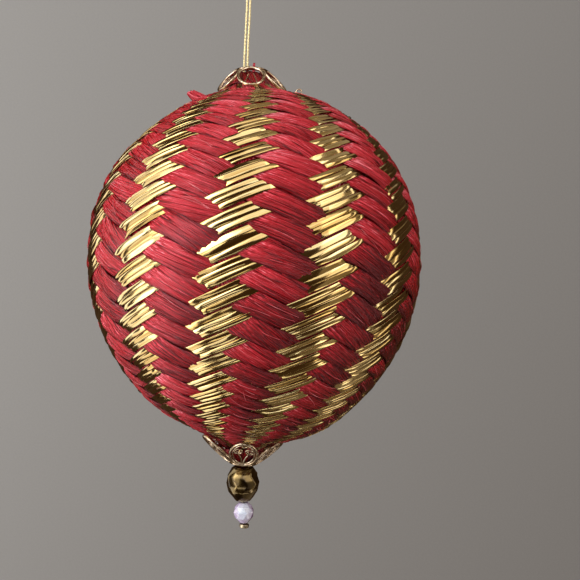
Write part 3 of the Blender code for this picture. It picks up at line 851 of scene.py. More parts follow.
def fibre_ridges(rng, along, share):
    """Returns the low ridges across a strand's section, which drift as they run along it."""
    ridges = np.zeros((len(along), share.shape[1]))
    for cycles in RIDGE_CYCLES:
        drift = wander(rng, along, RIDGE_DRIFT, RIDGE_RUN)
        ridges += np.sin(math.pi * cycles * share + rng.uniform(0, math.tau) + drift)
    return RED_RIDGE * ridges / 2


print("a red strand has", len(ring_places(0, RED_OVER - 1, RED_STEPS)), "rings")

# %% Shades of a red strand
MIDDLE_TONE = 0.5
OWN_TONES = (-0.17, 0.15)  # how much darker or paler a float is than the next
END_PAINTED_SHADE = 0.10  # painted shade: how much darker a float is at its lower end, where it dives under the gold, than in its middle
END_REACH = 4  # millimetres from a float's middle to where that shade is full
# painted shade along a float's long edges, where it meets its neighbours
EDGE_PAINTED_SHADE = 0.26
BEND_FROM = 2.0  # millimetres from a float's middle to where its upper end begins to crumple
BEND_RUN = 1.6
# painted highlight on the crumpled upper end of a float, where it bends over the gold
BEND_PAINTED_HIGHLIGHT = 0.07
TOP_PAINTED_LIGHT = 0.06  # painted light: the straw is paler at the top of the ball
TOP_PAINTED_LIGHT_FROM = 0.45  # height over the ball's middle, as a share of its top
TOP_PAINTED_LIGHT_RUN = 0.4
LOW_PAINTED_SHADE = 0.42  # painted shade: the straw is darker low on the ball, most at the right
LOW_PAINTED_SHADE_FROM = 0.35
LOW_PAINTED_SHADE_RUN = 0.6
RIGHT_PAINTED_SHADE = (0.52, 0.7)  # its share in the middle, and how much more of it there is at the right edge


def painted_light_and_shade(points):
    """Returns the painted light at the top of the ball, less the painted shade below, which is most at the
    right.
    """
    climbed = (points[..., 2] - BALL_CENTRE.z) / BALL_TOP
    right = (points[..., 0] - BALL_CENTRE.x) / BALL_RADIUS
    low = np.clip((LOW_PAINTED_SHADE_FROM - climbed) / LOW_PAINTED_SHADE_RUN, 0, 1)
    # painted shade low on the ball, more of it towards the right
    deep = low * np.clip(RIGHT_PAINTED_SHADE[0] + RIGHT_PAINTED_SHADE[1] * right, 0, 1)
    return TOP_PAINTED_LIGHT * np.clip((climbed - TOP_PAINTED_LIGHT_FROM) / TOP_PAINTED_LIGHT_RUN, 0, 1) - LOW_PAINTED_SHADE * deep


# the painted light and shade at the ball's middle
print("fade at the ball's middle:", round(float(painted_light_and_shade(np.array(BALL_CENTRE))), 3))

# %% Red strands


def red_strand(index):
    """Weaves one red strand."""
    rng = np.random.default_rng(RED_SEED + index)
    number = 2 * index
    along = ring_places(number, RED_OVER - 1, RED_STEPS)[:, None]
    middle = (number + along) / 2
    position, floats = float_count(middle, RED_OVER)
    half_up, half_down = red_edges(rng, middle, position, floats)

    share_top = np.linspace(-1, 1, RED_TOP_POINTS)[None, :]
    share_under = np.linspace(1, -1, RED_UNDER_POINTS + 2)[None, 1:-1]
    share = np.concatenate([share_top, share_under], axis=1)
    across = np.where(share > 0, share * half_up, share * half_down)

    ridges = fibre_ridges(rng, along, share_top)
    wave = step_wave(position * math.tau, RED_HASTE)
    height = RED_MEAN + RED_WAVE * wave + per_float(rng.normal(0, RED_UNEVEN, floats), position)
    lean = per_float(rng.normal(0, RED_UNEVEN, floats), position)
    top = height - RED_EDGE_DROP * np.abs(share_top) ** RED_EDGE_POWER + lean * share_top + ridges
    under = height - RED_EDGE_DROP - (RED_THICKNESS - RED_EDGE_DROP) * (1 - share_under ** 2)
    lift = np.concatenate([top, under], axis=1)

    along_all = along + 0 * across
    points = strand_places(-1, number, along_all, across, lift)
    from_float = (position - np.round(position)) * 2 * COLUMNS_IN_REPEAT * RED_MM[0]
    slant = per_float(rng.normal(0, FIBRE_SLANT, floats), position) * from_float
    uv = np.stack([
        along_all * RED_MM[0] + RED_MAP_STEP[0] * index,
        across * RED_MM[1] + slant + RED_MAP_STEP[1] * index,
    ], axis=-1)
    own_tone = per_float(rng.uniform(*OWN_TONES, floats), position)
    bend = np.clip((-from_float - BEND_FROM) / BEND_RUN, 0, 1)
    painted_end_shade = END_PAINTED_SHADE * np.clip(from_float, -END_REACH, END_REACH) / END_REACH
    marks = {
        # the tone holds each float's random tone, painted highlight at its bent end and at the top of the
        # ball, and painted shade at its lower end, along its edges and low on the ball
        "tone": (
            MIDDLE_TONE + own_tone + painted_light_and_shade(points) + BEND_PAINTED_HIGHLIGHT * bend
            - painted_end_shade - EDGE_PAINTED_SHADE * np.abs(share) ** 4
        ),
        "bend": bend + 0 * across,
    }
    strand = rolled_sheet(f"red_strand_{index + 1:02d}", points, uv, straw_finish, marks)
    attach(strand, "root")
    return strand


red_strands = [red_strand(index) for index in range(STRANDS_EACH_WAY)]
print("red strands:", len(red_strands), "with", len(red_strands[0].data.polygons), "faces each")

# %% [markdown]
# ## The gold strands
# A gold strand is a bundle of three foil tapes side by side. Each tape has its own slight roll and its own
# creases, and these change from float to float, because the film was never perfectly flat when it was
# pulled through. That is what makes one tape flash and the next one go dark. The tapes are rolled sheets
# too, thin ones, cut square across, so that their ends step where they dive under the red.

# %% Sizes of a gold strand
GOLD_MEAN = 0.10 * MM
GOLD_WAVE = 0.28 * MM
GOLD_HASTE = 2.8
GOLD_OVER = 0.5  # the column where a gold float's middle is
TAPES = (-0.60, 0.0, 0.60)  # their middles across the strand, in half spacings
TAPE_HALF_WIDTH = 0.31
TAPE_STAGGER = 0.04 * MM  # each tape lies this much over its lower neighbour
TAPE_UNDER = (0.8, -0.8)  # places of the points on the tape's hidden side
TAPE_TOP_POINTS = 8
CRUMPLED_FROM = 8.0  # rows from the middle to where the foil is squeezed and crumples
CRUMPLED_RUN = 10.0
CRUMPLED_MORE = 1.8
CALMER = 0.7  # how much less curled the narrow foil near the poles is
TAPE_THICKNESS = 0.10 * MM
TAPE_CROWN = 0.12 * MM
TAPE_CURL = 3.4  # how flat the tape's middle is against its curled edges
TAPE_SQUARE = -0.567  # how far a place across the tape is shifted along it, so that its ends are square
GOLD_SEED = 500
RISEN_FROM = 0.6  # a tape is bent and rolled from this far below its mean height on
MEAN_CROWN = 0.75
UNDER_CROWN = 0.3  # how much of the crown its hidden side has
# how much one float of a tape differs from the next
FLOAT_EARLY = 0.012  # in where it starts, as a share of the repeat
FLOAT_WIDER = 0.06
FLOAT_SWAY = 0.03  # across, in half spacings
FLOAT_ROLL = 0.075 * MM
FLOAT_HIGHER = 0.02 * MM
FLOAT_CREASE = 0.012 * MM
FLOAT_CROWNS = (-0.7, 1.0)
FOIL_TONES = (-0.12, 0.16)
# how much a tape swings as it runs on, and the length of that swing in half spacings
ROLL_SWING = (0.040 * MM, 7.0)
CROWN_SWING = (0.4, 9.0)
CREASE_SWING = (0.008 * MM, 5.0)
RIPPLE_SWING = (0.022 * MM, 5.0)
GOLD_MM = (2.44, 1.62)  # millimetres for each half spacing along and across, at the widest level
GOLD_MAP_STEP = (91.0, 17.0)
GOLD_STEPS = (0.0, 0.15, 0.3, 0.45, 0.6, 0.75, 0.9, 1.05, 1.2, 1.35, 1.5, 1.65, 1.8, 1.95, 2.2, 2.7, 3.3, 3.8)
print("a tape is", round(2 * TAPE_HALF_WIDTH * GOLD_MM[1], 2), "mm wide at the widest level")

# %% Gold tapes


def gold_tape(index, tape):
    """Lays one tape of a gold strand."""
    rng = np.random.default_rng(GOLD_SEED + 10 * index + tape)
    number = 2 * index
    along = ring_places(number, GOLD_OVER - 1, GOLD_STEPS)[:, None]
    position, floats = float_count((number + along) / 2, GOLD_OVER)
    early = per_float(rng.normal(0, FLOAT_EARLY, floats), position)
    wave = step_wave((position + early) * math.tau, GOLD_HASTE)

    share_top = np.sin(np.linspace(-1, 1, TAPE_TOP_POINTS) * math.pi / 2)[None, :]
    share_under = np.array([TAPE_UNDER])
    share = np.concatenate([share_top, share_under], axis=1)
    half = TAPE_HALF_WIDTH * (1 + per_float(rng.normal(0, FLOAT_WIDER, floats), position))
    sway = per_float(rng.normal(0, FLOAT_SWAY, floats), position)
    from_middle = share * half

    risen = np.clip(wave + RISEN_FROM, 0, 1)
    near_pole = (np.abs(along - number) / 2 - CRUMPLED_FROM) / CRUMPLED_RUN
    calm = 1 - CALMER * np.clip(near_pole / 2, 0, 1)
    own_roll = per_float(rng.normal(0, FLOAT_ROLL, floats), position) + wander(rng, along, *ROLL_SWING)
    roll = calm * risen * own_roll
    own_crown = MEAN_CROWN + per_float(rng.uniform(*FLOAT_CROWNS, floats), position)
    crown = calm * (TAPE_CROWN * (own_crown + wander(rng, along, *CROWN_SWING)))
    creases = np.concatenate([
        per_float(rng.normal(0, FLOAT_CREASE, floats), position) + wander(rng, along, *CREASE_SWING)
        for _ in range(TAPE_TOP_POINTS)
    ], axis=1)
    creases = calm * creases * (1 - share_top ** 4)
    ripple = wander(rng, along, *RIPPLE_SWING) * (1 + CRUMPLED_MORE * np.clip(near_pole, 0, 1))
    stagger = TAPE_STAGGER * (tape - 1) + per_float(rng.normal(0, FLOAT_HIGHER, floats), position)
    height = GOLD_MEAN + GOLD_WAVE * wave + risen * stagger + ripple
    top = height + roll * share_top + crown * (1 - np.abs(share_top) ** TAPE_CURL) + creases
    under = height + roll * share_under - TAPE_THICKNESS + UNDER_CROWN * crown
    lift = np.concatenate([top, under], axis=1)

    along_all = along + TAPE_SQUARE * from_middle
    across = TAPES[tape] + sway + from_middle
    points = strand_places(1, number, along_all, across, lift)
    uv = np.stack([
        along_all * GOLD_MM[0] + GOLD_MAP_STEP[0] * index,
        across * GOLD_MM[1] + GOLD_MAP_STEP[1] * index,
    ], axis=-1)
    marks = {"tone": per_float(rng.uniform(*FOIL_TONES, floats), position) + 0 * across}
    return rolled_sheet(f"gold_tape_{index + 1:02d}_{tape + 1}", points, uv, foil_finish, marks)


print("a gold strand has", len(TAPES), "tapes")

# %% Gold strands


def join(pieces, name):
    """Joins pieces into one."""
    bpy.ops.object.select_all(action="DESELECT")
    for piece in pieces:
        piece.select_set(True)
    bpy.context.view_layer.objects.active = pieces[0]
    bpy.ops.object.join()
    pieces[0].name = name
    pieces[0].data.name = name
    return pieces[0]


def gold_strand(index):
    """Weaves one gold strand of three tapes."""
    strand = join([gold_tape(index, tape) for tape in range(len(TAPES))], f"gold_strand_{index + 1:02d}")
    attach(strand, "root")
    return strand


gold_strands = [gold_strand(index) for index in range(STRANDS_EACH_WAY)]
# a gold column of the CAD model has floats of many strands, so every second strand stands in for one
for number in range(STRANDS_EACH_WAY // 2):
    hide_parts(f"gold_ribbon_{number + 1:02d}")
print("gold strands:", len(gold_strands), "with", len(gold_strands[0].data.polygons), "faces each")

# %% [markdown]
# ## Gilt wire
# Both caps are stamped and soldered filigree of thin brass wire with a pale gilt wash, a little brown from
# age. Thin wire is polished by handling, so it is bright, with fine dull spots where the wash has worn.
# A noise finds the spots, and they are darker and rougher than the rest. They are about 0.7 mm apart.

# %% Gilt material
WEAR_SPOTS = 1400.0  # noise cells for each metre
SPOT_RELIEF = 0.03 * MM


def gilt_wire():
    """Polished brass wire with a pale gilt wash that has worn in spots."""
    made, tree = new_material("gilt_brass_wire")
    place = node(tree, "ShaderNodeTexCoord")
    wear = node(tree, "ShaderNodeTexNoise", {"Vector": (place, "Object"), "Scale": WEAR_SPOTS, "Detail": 3.0})
    colour = node(tree, "ShaderNodeValToRGB", {"Fac": (wear, "Fac")}, stops=[
        (0.3, "#75614E"), (0.5, "#BEA88E"), (0.8, "#EFE5D6")])
    rough = node(tree, "ShaderNodeMapRange", {
        "Value": (wear, "Fac"), "From Min": 0.3, "From Max": 0.8, "To Min": 0.28, "To Max": 0.14})
    bump = node(tree, "ShaderNodeBump", {"Height": (wear, "Fac"), "Strength": 0.15, "Distance": SPOT_RELIEF})
    shade(tree, {
        "Base Color": (colour, "Color"),
        "Roughness": (rough, "Result"),
        "Normal": (bump, "Normal"),
        "Metallic": 1.0,
    })
    return made


gilt_finish = gilt_wire()
print("made", gilt_finish.name)

# %% [markdown]
# ## The bead caps
# Each cap is a flower of wire: a hub ring, and six oval petals that lie on the straw. A petal has a strong
# rim. On the top cap two small bars fill it, and on the bottom cap a thinner oval, two scrolls on their
# stems and a small eye. The petals were bent by hand, each until it lay on the straw, so the script does
# the same: it lowers each petal until its rim rests on the skin. A wire is drawn as a curve with a round
# section, and then made a mesh.

# %% Skin near the poles


def skin_height(x, y, side):
    """Returns how high the skin's upper or lower half is over or under a place near the poles."""
    height, fullness, nub = (BALL_TOP, TOP_FULLNESS, TOP_NUB_HEIGHT) if side > 0 else (
        BALL_BOTTOM, BOTTOM_FULLNESS, BOTTOM_NUB_HEIGHT)
    share = min(1.0, math.hypot(x - BALL_CENTRE.x, y) / BALL_RADIUS)
    rise = height * (1 - share ** fullness) ** (1 / fullness)
    return BALL_CENTRE.z + side * (rise + nub * max(0.0, 1 - math.hypot(x, y) / NUB_RADIUS))


print("the skin's top and bottom in mm:", [round(skin_height(0, 0, side) / MM, 1) for side in (1, -1)])

# %% Drawing of wires
CAP_WIRE = 0.28 * MM  # radius of the wire
THIN_WIRE = 0.15 * MM
BAR_WIRE = 0.11 * MM
ROUND_WIRE = 3  # Blender's bevel resolution: 3 gives a section of ten sides
FINE_WIRE = 1


def draw_wires(name, routes, radius, closed=False, resolution=ROUND_WIRE):
    """Draws a round wire along each route and makes them one mesh."""
    curve = bpy.data.curves.new(name, "CURVE")
    curve.dimensions = "3D"
    curve.bevel_depth = radius
    curve.bevel_resolution = resolution
    curve.use_fill_caps = not closed
    for points in routes:
        spline = curve.splines.new("POLY")
        spline.points.add(len(points) - 1)
        for spot, point in zip(spline.points, points):
            spot.co = (*point, 1.0)
        spline.use_cyclic_u = closed
    wires = bpy.data.objects.new(name, curve)
    bpy.context.collection.objects.link(wires)
    bpy.ops.object.select_all(action="DESELECT")
    wires.select_set(True)
    bpy.context.view_layer.objects.active = wires
    bpy.ops.object.convert(target="MESH")
    wires = bpy.context.object
    wires.data.shade_smooth()
    return wires


print("wires are", [round(2 * radius / MM, 2) for radius in (CAP_WIRE, THIN_WIRE, BAR_WIRE)], "mm thick")

# %% Ovals and scrolls
RIM_POINTS = 40
EYE_POINTS = 18
SCROLL_POINTS = 26
SCROLL_TURN = 540  # degrees
SCROLL_NARROWS = 0.72


def oval(middle, half_length, half_width, count=RIM_POINTS):
    """Returns the points of an oval in a petal's plane, whose x runs along the petal."""
    turns = [math.tau * step / count for step in range(count)]
    return [Vector((middle + half_length * math.cos(t), half_width * math.sin(t), 0)) for t in turns]


def scroll(x, y, radius, turn, side):
    """Returns the points of a small spiral round x and y that curls in from its outer end."""
    points = []
    for step in range(SCROLL_POINTS):
        share = step / (SCROLL_POINTS - 1)
        angle = turn + side * share * math.radians(SCROLL_TURN)
        reach = radius * (1 - SCROLL_NARROWS * share)
        points.append(Vector((x + reach * math.cos(angle), y + reach * math.sin(angle), 0)))
    return points


print("a scroll of 1 mm ends", round(1 - SCROLL_NARROWS, 2), "mm from its middle")

# %% Sizes of the caps
PETALS = 6
# turn and tilt are in degrees, and the petals' lengths are in millimetres
TOP_CAP = {
    "name": "top_cap_filigree",
    "node": "top_cap",
    "side": 1,
    "hub_radius": 3.2 * MM,
    "turn": 3.0,
    "tilt": -1.0,
    "width": 5.5 * MM,
    "lengths": (6.3, 6.7, 6.6, 6.4, 6.6, 6.3),
    "style": "bars",
}
BOTTOM_CAP = {
    "name": "bottom_cap_filigree",
    "node": "bottom_cap",
    "side": -1,
    "hub_radius": 2.7 * MM,
    "turn": 3.0,
    "tilt": 5.0,
    "width": 5.8 * MM,
    "lengths": (8.2, 8.2, 8.1, 8.2, 8.4, 8.7),
    "style": "scrolls",
}
print("petals are", TOP_CAP["lengths"], "mm long above and", BOTTOM_CAP["lengths"], "mm below")

# %% Places of the caps and their petals
RIM_GAP = 0.30 * MM  # the rim's middle rests this far over the skin, on the crowns of the straw
STEEPEST = 62  # degrees that a petal may slope down
FLATTEST = 24


def hub_matrix(cap):
    """Returns where a cap's hub is: the CAD node's own place, lean and turn."""
    low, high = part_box(cap["node"])
    lean = abs(math.sin(math.radians(cap["tilt"]))) * cap["hub_radius"]
    height = high.z - CAP_WIRE - lean if cap["side"] > 0 else low.z + CAP_WIRE + lean
    return (
        Matrix.Translation((0, 0, height))
        @ Matrix.Rotation(math.radians(cap["tilt"]), 4, "Y")
        @ Matrix.Rotation(math.radians(cap["turn"] - 90), 4, "Z")
    )


def petal_matrix(cap, number, slope):
    """Returns the plane of a petal that leaves the hub at a slope."""
    return (
        hub_matrix(cap)
        @ Matrix.Rotation(math.tau / PETALS * number, 4, "Z")
        @ Matrix.Translation((cap["hub_radius"], 0, 0))
        @ Matrix.Rotation(math.radians(cap["side"] * slope), 4, "Y")
    )


def resting_slope(cap, number, rim):
    """Bends a petal down until its rim rests on the straw, and returns that slope."""
    side = cap["side"]
    for slope in range(STEEPEST, FLATTEST, -1):
        place = petal_matrix(cap, number, slope)
        spots = [place @ point for point in rim]
        if all(side * (spot.z - skin_height(spot.x, spot.y, side)) > RIM_GAP for spot in spots):
            return slope
    return FLATTEST


for cap in (TOP_CAP, BOTTOM_CAP):
    print(cap["node"], "hub is at", round(hub_matrix(cap).translation.z / MM, 1), "mm")

# %% Wires of a petal
# places in a petal are shares of its length and of its rim's half width
BAR_ENDS = ((0.34, 0.18), (0.86, 0.50))
BAR_RISE = 0.15 * MM
INNER_GAP = 1.9 * CAP_WIRE
SCROLL_PLACE = (0.60, 0.42)
SCROLL_REACH = 0.36
SCROLL_START = 2.2
STEM_PLACES = ((0.10, 0.06), (0.32, 0.16), (0.46, 0.34))
EYE_PLACE = 0.84
EYE_SIZE = (0.07, 0.20)


def bar_wires(length, half):
    """Returns the two arched bars in a petal of the top cap."""
    wires = []
    for hand in (-1, 1):
        near, far = [Vector((x * length, hand * y * half, 0)) for x, y in BAR_ENDS]
        wires.append(([near, (near + far) / 2 + Vector((0, 0, BAR_RISE)), far], BAR_WIRE, False))
    return wires


def scroll_wires(length, half):
    """Returns the thin oval, the two scrolls on their stems and the eye in a petal of the bottom cap."""
    middle = length / 2 - CAP_WIRE
    wires = [(oval(middle, middle - INNER_GAP, half - INNER_GAP), THIN_WIRE, True)]
    for hand in (-1, 1):
        x, y = SCROLL_PLACE
        curl = scroll(x * length, hand * y * half, SCROLL_REACH * half, hand * SCROLL_START, hand)
        stem = [Vector((x * length, hand * y * half, 0)) for x, y in STEM_PLACES]
        wires += [(curl, THIN_WIRE, False), (stem, THIN_WIRE, False)]
    eye = oval(EYE_PLACE * length, EYE_SIZE[0] * length, EYE_SIZE[1] * half, EYE_POINTS)
    return wires + [(eye, THIN_WIRE, True)]


def petal_wires(cap, length):
    """Returns a petal's wires in its own plane, each with its thickness and whether it closes."""
    half = cap["width"] / 2 - CAP_WIRE
    middle = length / 2 - CAP_WIRE
    rim = (oval(middle, middle, half), CAP_WIRE, True)
    return [rim] + (bar_wires(length, half) if cap["style"] == "bars" else scroll_wires(length, half))


for cap in (TOP_CAP, BOTTOM_CAP):
    print("a petal of", cap["node"], "has", len(petal_wires(cap, cap["lengths"][0] * MM)), "wires")

# %% Bead caps
INNER_HUB = 0.70  # radius of the ring inside the hub, as a share of the hub's
INNER_HUB_WIRE = 0.195 * MM


def bead_cap(cap):
    """Makes one cap and rests its petals on the straw."""
    hub = hub_matrix(cap)
    pieces = []
    slopes = []
    outer = cap["hub_radius"]
    inner = INNER_HUB * outer
    for radius, thickness in ((outer, CAP_WIRE), (inner, INNER_HUB_WIRE)):
        ring = [hub @ point for point in oval(0, radius, radius)]
        pieces.append(draw_wires("wire", [ring], thickness, True))
    for number, length in enumerate(cap["lengths"]):
        wires = petal_wires(cap, length * MM)
        slope = resting_slope(cap, number, wires[0][0])
        slopes.append(slope)
        place = petal_matrix(cap, number, slope)
        for points, thickness, closed in wires:
            pieces.append(draw_wires("wire", [[place @ point for point in points]], thickness, closed))
        turn = math.tau / PETALS * (number + 0.5)
        spoke = [hub @ Vector((r * math.cos(turn), r * math.sin(turn), 0)) for r in (inner, outer)]
        pieces.append(draw_wires("wire", [spoke], THIN_WIRE))
    made = join(pieces, cap["name"])
    made.data.materials.clear()
    made.data.materials.append(gilt_finish)
    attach(made, "root")
    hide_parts(cap["node"])
    print(made.name, "petals slope", slopes, "degrees,", len(made.data.polygons), "faces")
    return made


for cap in (TOP_CAP, BOTTOM_CAP):
    bead_cap(cap)

# %% [markdown]
# ## The gathered straw at the poles
# At each pole the ends of the straw are drawn together, and slips of them show inside the hub ring, round
# the hole that the thread or the pin goes into. Each slip is a small flat roll that narrows to its tip. It
# is rolled from a grid as the strands are, so the same straw finish can follow it.

# %% Slips of straw
TIP_SECTION = 8
TIP_RINGS = 11
TIP_NARROWS = 0.72
TIP_NARROWS_LATE = 1.5  # exponent: with more, a slip keeps its width for longer
TIP_HALF_THICKNESS = 0.16 * MM
TIP_MAP = (0.5, 0.6)  # millimetres of map for each ring, and for half of the slip's width
TIP_MAP_STEP = (40, 70)  # how far a slip's map is shifted for its tone, so that no two look alike
TIP_OUTER = 5.0 * MM
GATHER_UNDER_HUB = 0.40 * MM  # how far under the hub ring the gathered straw reaches
GATHER_WIDTH = 2.3 * MM
GATHER_SLOPE = 1.05


def gathered_height(x, y, side):
    """Returns the height of the straw under a cap: the ball's skin, drawn up towards the hub."""
    hub = hub_matrix(TOP_CAP if side > 0 else BOTTOM_CAP).translation.z
    drawn = hub - side * (GATHER_UNDER_HUB + GATHER_SLOPE * max(0.0, math.hypot(x, y) - GATHER_WIDTH))
    return max(drawn, skin_height(x, y, 1)) if side > 0 else min(drawn, skin_height(x, y, -1))


def straw_slip(name, spots, heights, across, width, finish, flip, tone):
    """Makes one slip of straw along some spots, that wide at its thick end."""
    sections = [math.tau * step / TIP_SECTION for step in range(TIP_SECTION)]
    rings, places = [], []
    for step, (spot, height) in enumerate(zip(spots, heights)):
        share = step / (len(spots) - 1)
        half = width * (1 - TIP_NARROWS * share ** TIP_NARROWS_LATE)
        ring = []
        for angle in sections:
            shift = across * half * math.cos(angle)
            thick = (-1 if flip else 1) * TIP_HALF_THICKNESS * math.sin(angle)
            ring.append((spot.x + shift.x, spot.y + shift.y, height + shift.z + thick))
        rings.append(ring)
        places.append([(
            step * TIP_MAP[0] + TIP_MAP_STEP[0] * tone,
            math.cos(angle) * TIP_MAP[1] + TIP_MAP_STEP[1] * tone,
        ) for angle in sections])
    marks = {"tone": np.full((len(spots), TIP_SECTION), tone)}
    return rolled_sheet(name, np.array(rings), np.array(places), finish, marks, flip=flip)


print("straw is gathered up to", round(gathered_height(0, 0, 1) / MM, 1), "mm at the top")

# %% Straw tips
CORD_HOLE = (-1.1 * MM, 1.0 * MM)  # its place along X, and its radius
PIN_HOLE = (0.0, 0.8 * MM)
TIP_CROWDING = 0.2  # how unevenly slips stand round the hole, as a share of their spacing
TIP_RISE = (0.05, 0.45)  # millimetres, as are the next two
TIP_WIDTH = (0.55, 0.75)
TIP_SWAY = (-0.25, 0.25)
TIP_SINK = 0.15 * MM
TIP_ARCH = (0.15, 0.8)  # where on an arch a slip starts, and how much of it the slip covers
# painted shade: the slips inside the hub ring get a dark tone
TIP_PAINTED_SHADE_TONE = 0.10
TIP_TONES = (-0.15, 0.20)


def straw_tip(name, side, hole, turn, rng):
    """Lays one slip of straw from the nub's shoulder to the hole."""
    inner = Vector((hole[0] + hole[1] * math.cos(turn), hole[1] * math.sin(turn), 0))
    outer = Vector((TIP_OUTER * math.cos(turn), TIP_OUTER * math.sin(turn), 0))
    across = Vector((-math.sin(turn), math.cos(turn), 0))
    rise = rng.uniform(*TIP_RISE) * MM
    width = rng.uniform(*TIP_WIDTH) * MM
    sway = rng.uniform(*TIP_SWAY) * MM
    shares = [step / (TIP_RINGS - 1) for step in range(TIP_RINGS)]
    spots = [outer.lerp(inner, share) + across * sway * math.sin(math.pi * share) for share in shares]
    heights = [
        gathered_height(spot.x, spot.y, side)
        + side * (rise * math.sin(math.pi * (TIP_ARCH[0] + share * TIP_ARCH[1])) - TIP_SINK)
        for spot, share in zip(spots, shares)
    ]
    tone = TIP_PAINTED_SHADE_TONE + rng.uniform(*TIP_TONES)
    return straw_slip(name, spots, heights, across, width, straw_finish, side < 0, tone)


def straw_tips(name, side, hole, count, seed):
    """Lays a ring of slips round a hole and joins them."""
    rng = np.random.default_rng(seed)
    turns = [
        math.tau * (number + rng.uniform(-TIP_CROWDING, TIP_CROWDING)) / count
        for number in range(count)
    ]
    made = join([straw_tip(name, side, hole, turn, rng) for turn in turns], name)
    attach(made, "root")
    return made


top_tips = straw_tips("top_straw_tips", 1, CORD_HOLE, count=26, seed=31)
bottom_tips = straw_tips("bottom_straw_tips", -1, PIN_HOLE, count=24, seed=32)
print("straw tips:", len(top_tips.data.polygons), len(bottom_tips.data.polygons), "faces")

# %% [markdown]
# ## Loose ends
# No hand-woven ball is tidy. A few slips stand up where the straw was tied off, some curls of foil have
# sprung out near the top, and single fibres have worked loose all over and catch the light. Slips are made as
# the straw tips are. Fibres and foil are thin wires, and each fibre follows its strand's own plan, a little
# aslant and a little lifted.

# %% Loose slips
TUFTS = {
    # where the slips start and end in millimetres, how far they fan out, their half width, their number
    "shoulder_tuft": ((-8.4, -2.6, -29.3), (-11.6, -3.0, -27.5), 0.8, 0.95, 8),
    "thread_tuft": ((0.3, -0.6, -23.8), (0.5, -0.8, -20.8), 0.35, 0.32, 4),
}
FAN_SHAPE = (0.7, 1.0, 0.5)  # how much of the fan's spread goes along X, Y and Z
ROOT_SPREAD = 0.4  # millimetres, as is the next
TUFT_BOW = (-0.5, 0.3)
TUFT_ROLL = 0.6  # how far a slip may turn its flat side away from the front
TUFT_TONE = 0.72
TUFT_TONES = 0.12
TUFT_SEED = 60


def loose_tuft(name, start, end, fan, half_width, count, seed):
    """Makes a small fan of slips that stand off the ball."""
    rng = np.random.default_rng(seed)
    slips = []
    for _ in range(count):
        aim = Vector(end) + Vector(rng.uniform(-fan, fan, 3) * FAN_SHAPE)
        root = Vector(start) + Vector(rng.uniform(-ROOT_SPREAD, ROOT_SPREAD, 3))
        bow = Vector((0, 0, rng.uniform(*TUFT_BOW)))
        spots = [
            (root.lerp(aim, share) + bow * math.sin(math.pi * share)) * MM
            for share in (step / (TIP_RINGS - 1) for step in range(TIP_RINGS))
        ]
        facing = Vector((rng.uniform(-TUFT_ROLL, TUFT_ROLL), -1, rng.uniform(-TUFT_ROLL, TUFT_ROLL)))
        across = (aim - root).cross(facing).normalized()
        tone = TUFT_TONE + rng.uniform(-TUFT_TONES, TUFT_TONES)
        heights = [spot.z for spot in spots]
        slips.append(straw_slip(name, spots, heights, across, half_width * MM, straw_finish, False, tone))
    made = join(slips, name)
    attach(made, "root")
    return made


for seed, (tuft_name, tuft_values) in enumerate(TUFTS.items()):
    loose_tuft(tuft_name, *tuft_values, seed=TUFT_SEED + seed)
print("tufts:", ", ".join(TUFTS))

# %% Fibre material
FIBRE_PATCHES = 500.0  # noise cells for each metre: the tone changes every 2 mm


def single_fibre():
    """One bright viscose filament: glossy, with paler and deeper lengths."""
    made, tree = new_material("single_rayon_fibre")
    place = node(tree, "ShaderNodeTexCoord")
    patch = node(tree, "ShaderNodeTexNoise", {
        "Vector": (place, "Object"), "Scale": FIBRE_PATCHES, "Detail": 1.0})
    colour = node(tree, "ShaderNodeValToRGB", {"Fac": (patch, "Fac")}, stops=[
        (0.3, "#A82C38"), (0.55, "#CC4C58"), (0.8, "#E88C96")])
    shade(tree, {"Base Color": (colour, "Color"), "Roughness": 0.22, "Specular IOR Level": 0.9})
    return made


fibre_finish = single_fibre()
print("made", fibre_finish.name)

# %% Loose fibres
FIBRE_RADIUS = 0.036 * MM  # drawn about half as thick again as it is, so that it shows
FIBRE_COUNT = 260
FIBRE_POINTS = 12
FIBRE_LIFT = 0.60 * MM  # of a fibre over the middle of a float
EDGE_LIFT = 0.35  # the share of that lift that is left at the float's ends
FIBRE_REACH = 22  # columns from a strand's middle to where the first of its fibres may lie
FIBRE_FLOATS = 11  # floats of a strand that may have one
FIBRE_HALF_LENGTH = (0.7, 1.9)  # in half spacings, as are the next five
FIBRE_SHIFT = (-1.0, 0.6)
FIBRE_ACROSS = 0.8
FIBRE_LEAN = 0.20
FIBRE_BOW = 0.10
FLOAT_REACH = 2.2
FIBRE_ARCH = 0.25  # millimetres
FIBRE_SEED = 77


def fibre_route(rng):
    """Returns the points of one loose fibre over a red float."""
    number = 2 * int(rng.integers(0, STRANDS_EACH_WAY))
    start = math.ceil((number - FIBRE_REACH - RED_OVER) / COLUMNS_IN_REPEAT)
    middle = RED_OVER + COLUMNS_IN_REPEAT * (start + int(rng.integers(0, FIBRE_FLOATS)))
    half_length = rng.uniform(*FIBRE_HALF_LENGTH)
    steps = np.linspace(-1, 1, FIBRE_POINTS)
    bowed = 1 - steps ** 2
    from_middle = rng.uniform(*FIBRE_SHIFT) + steps * half_length
    along = 2 * middle - number + from_middle
    across = rng.uniform(-FIBRE_ACROSS, FIBRE_ACROSS) + rng.normal(0, FIBRE_LEAN) * steps
    across = across + rng.normal(0, FIBRE_BOW) * bowed
    arch = np.maximum(0, 1 - (from_middle / FLOAT_REACH) ** 2)
    lift = FIBRE_LIFT * (EDGE_LIFT + (1 - EDGE_LIFT) * arch) + rng.uniform(0.0, FIBRE_ARCH) * MM * bowed
    return strand_places(-1, number, along, across, lift)


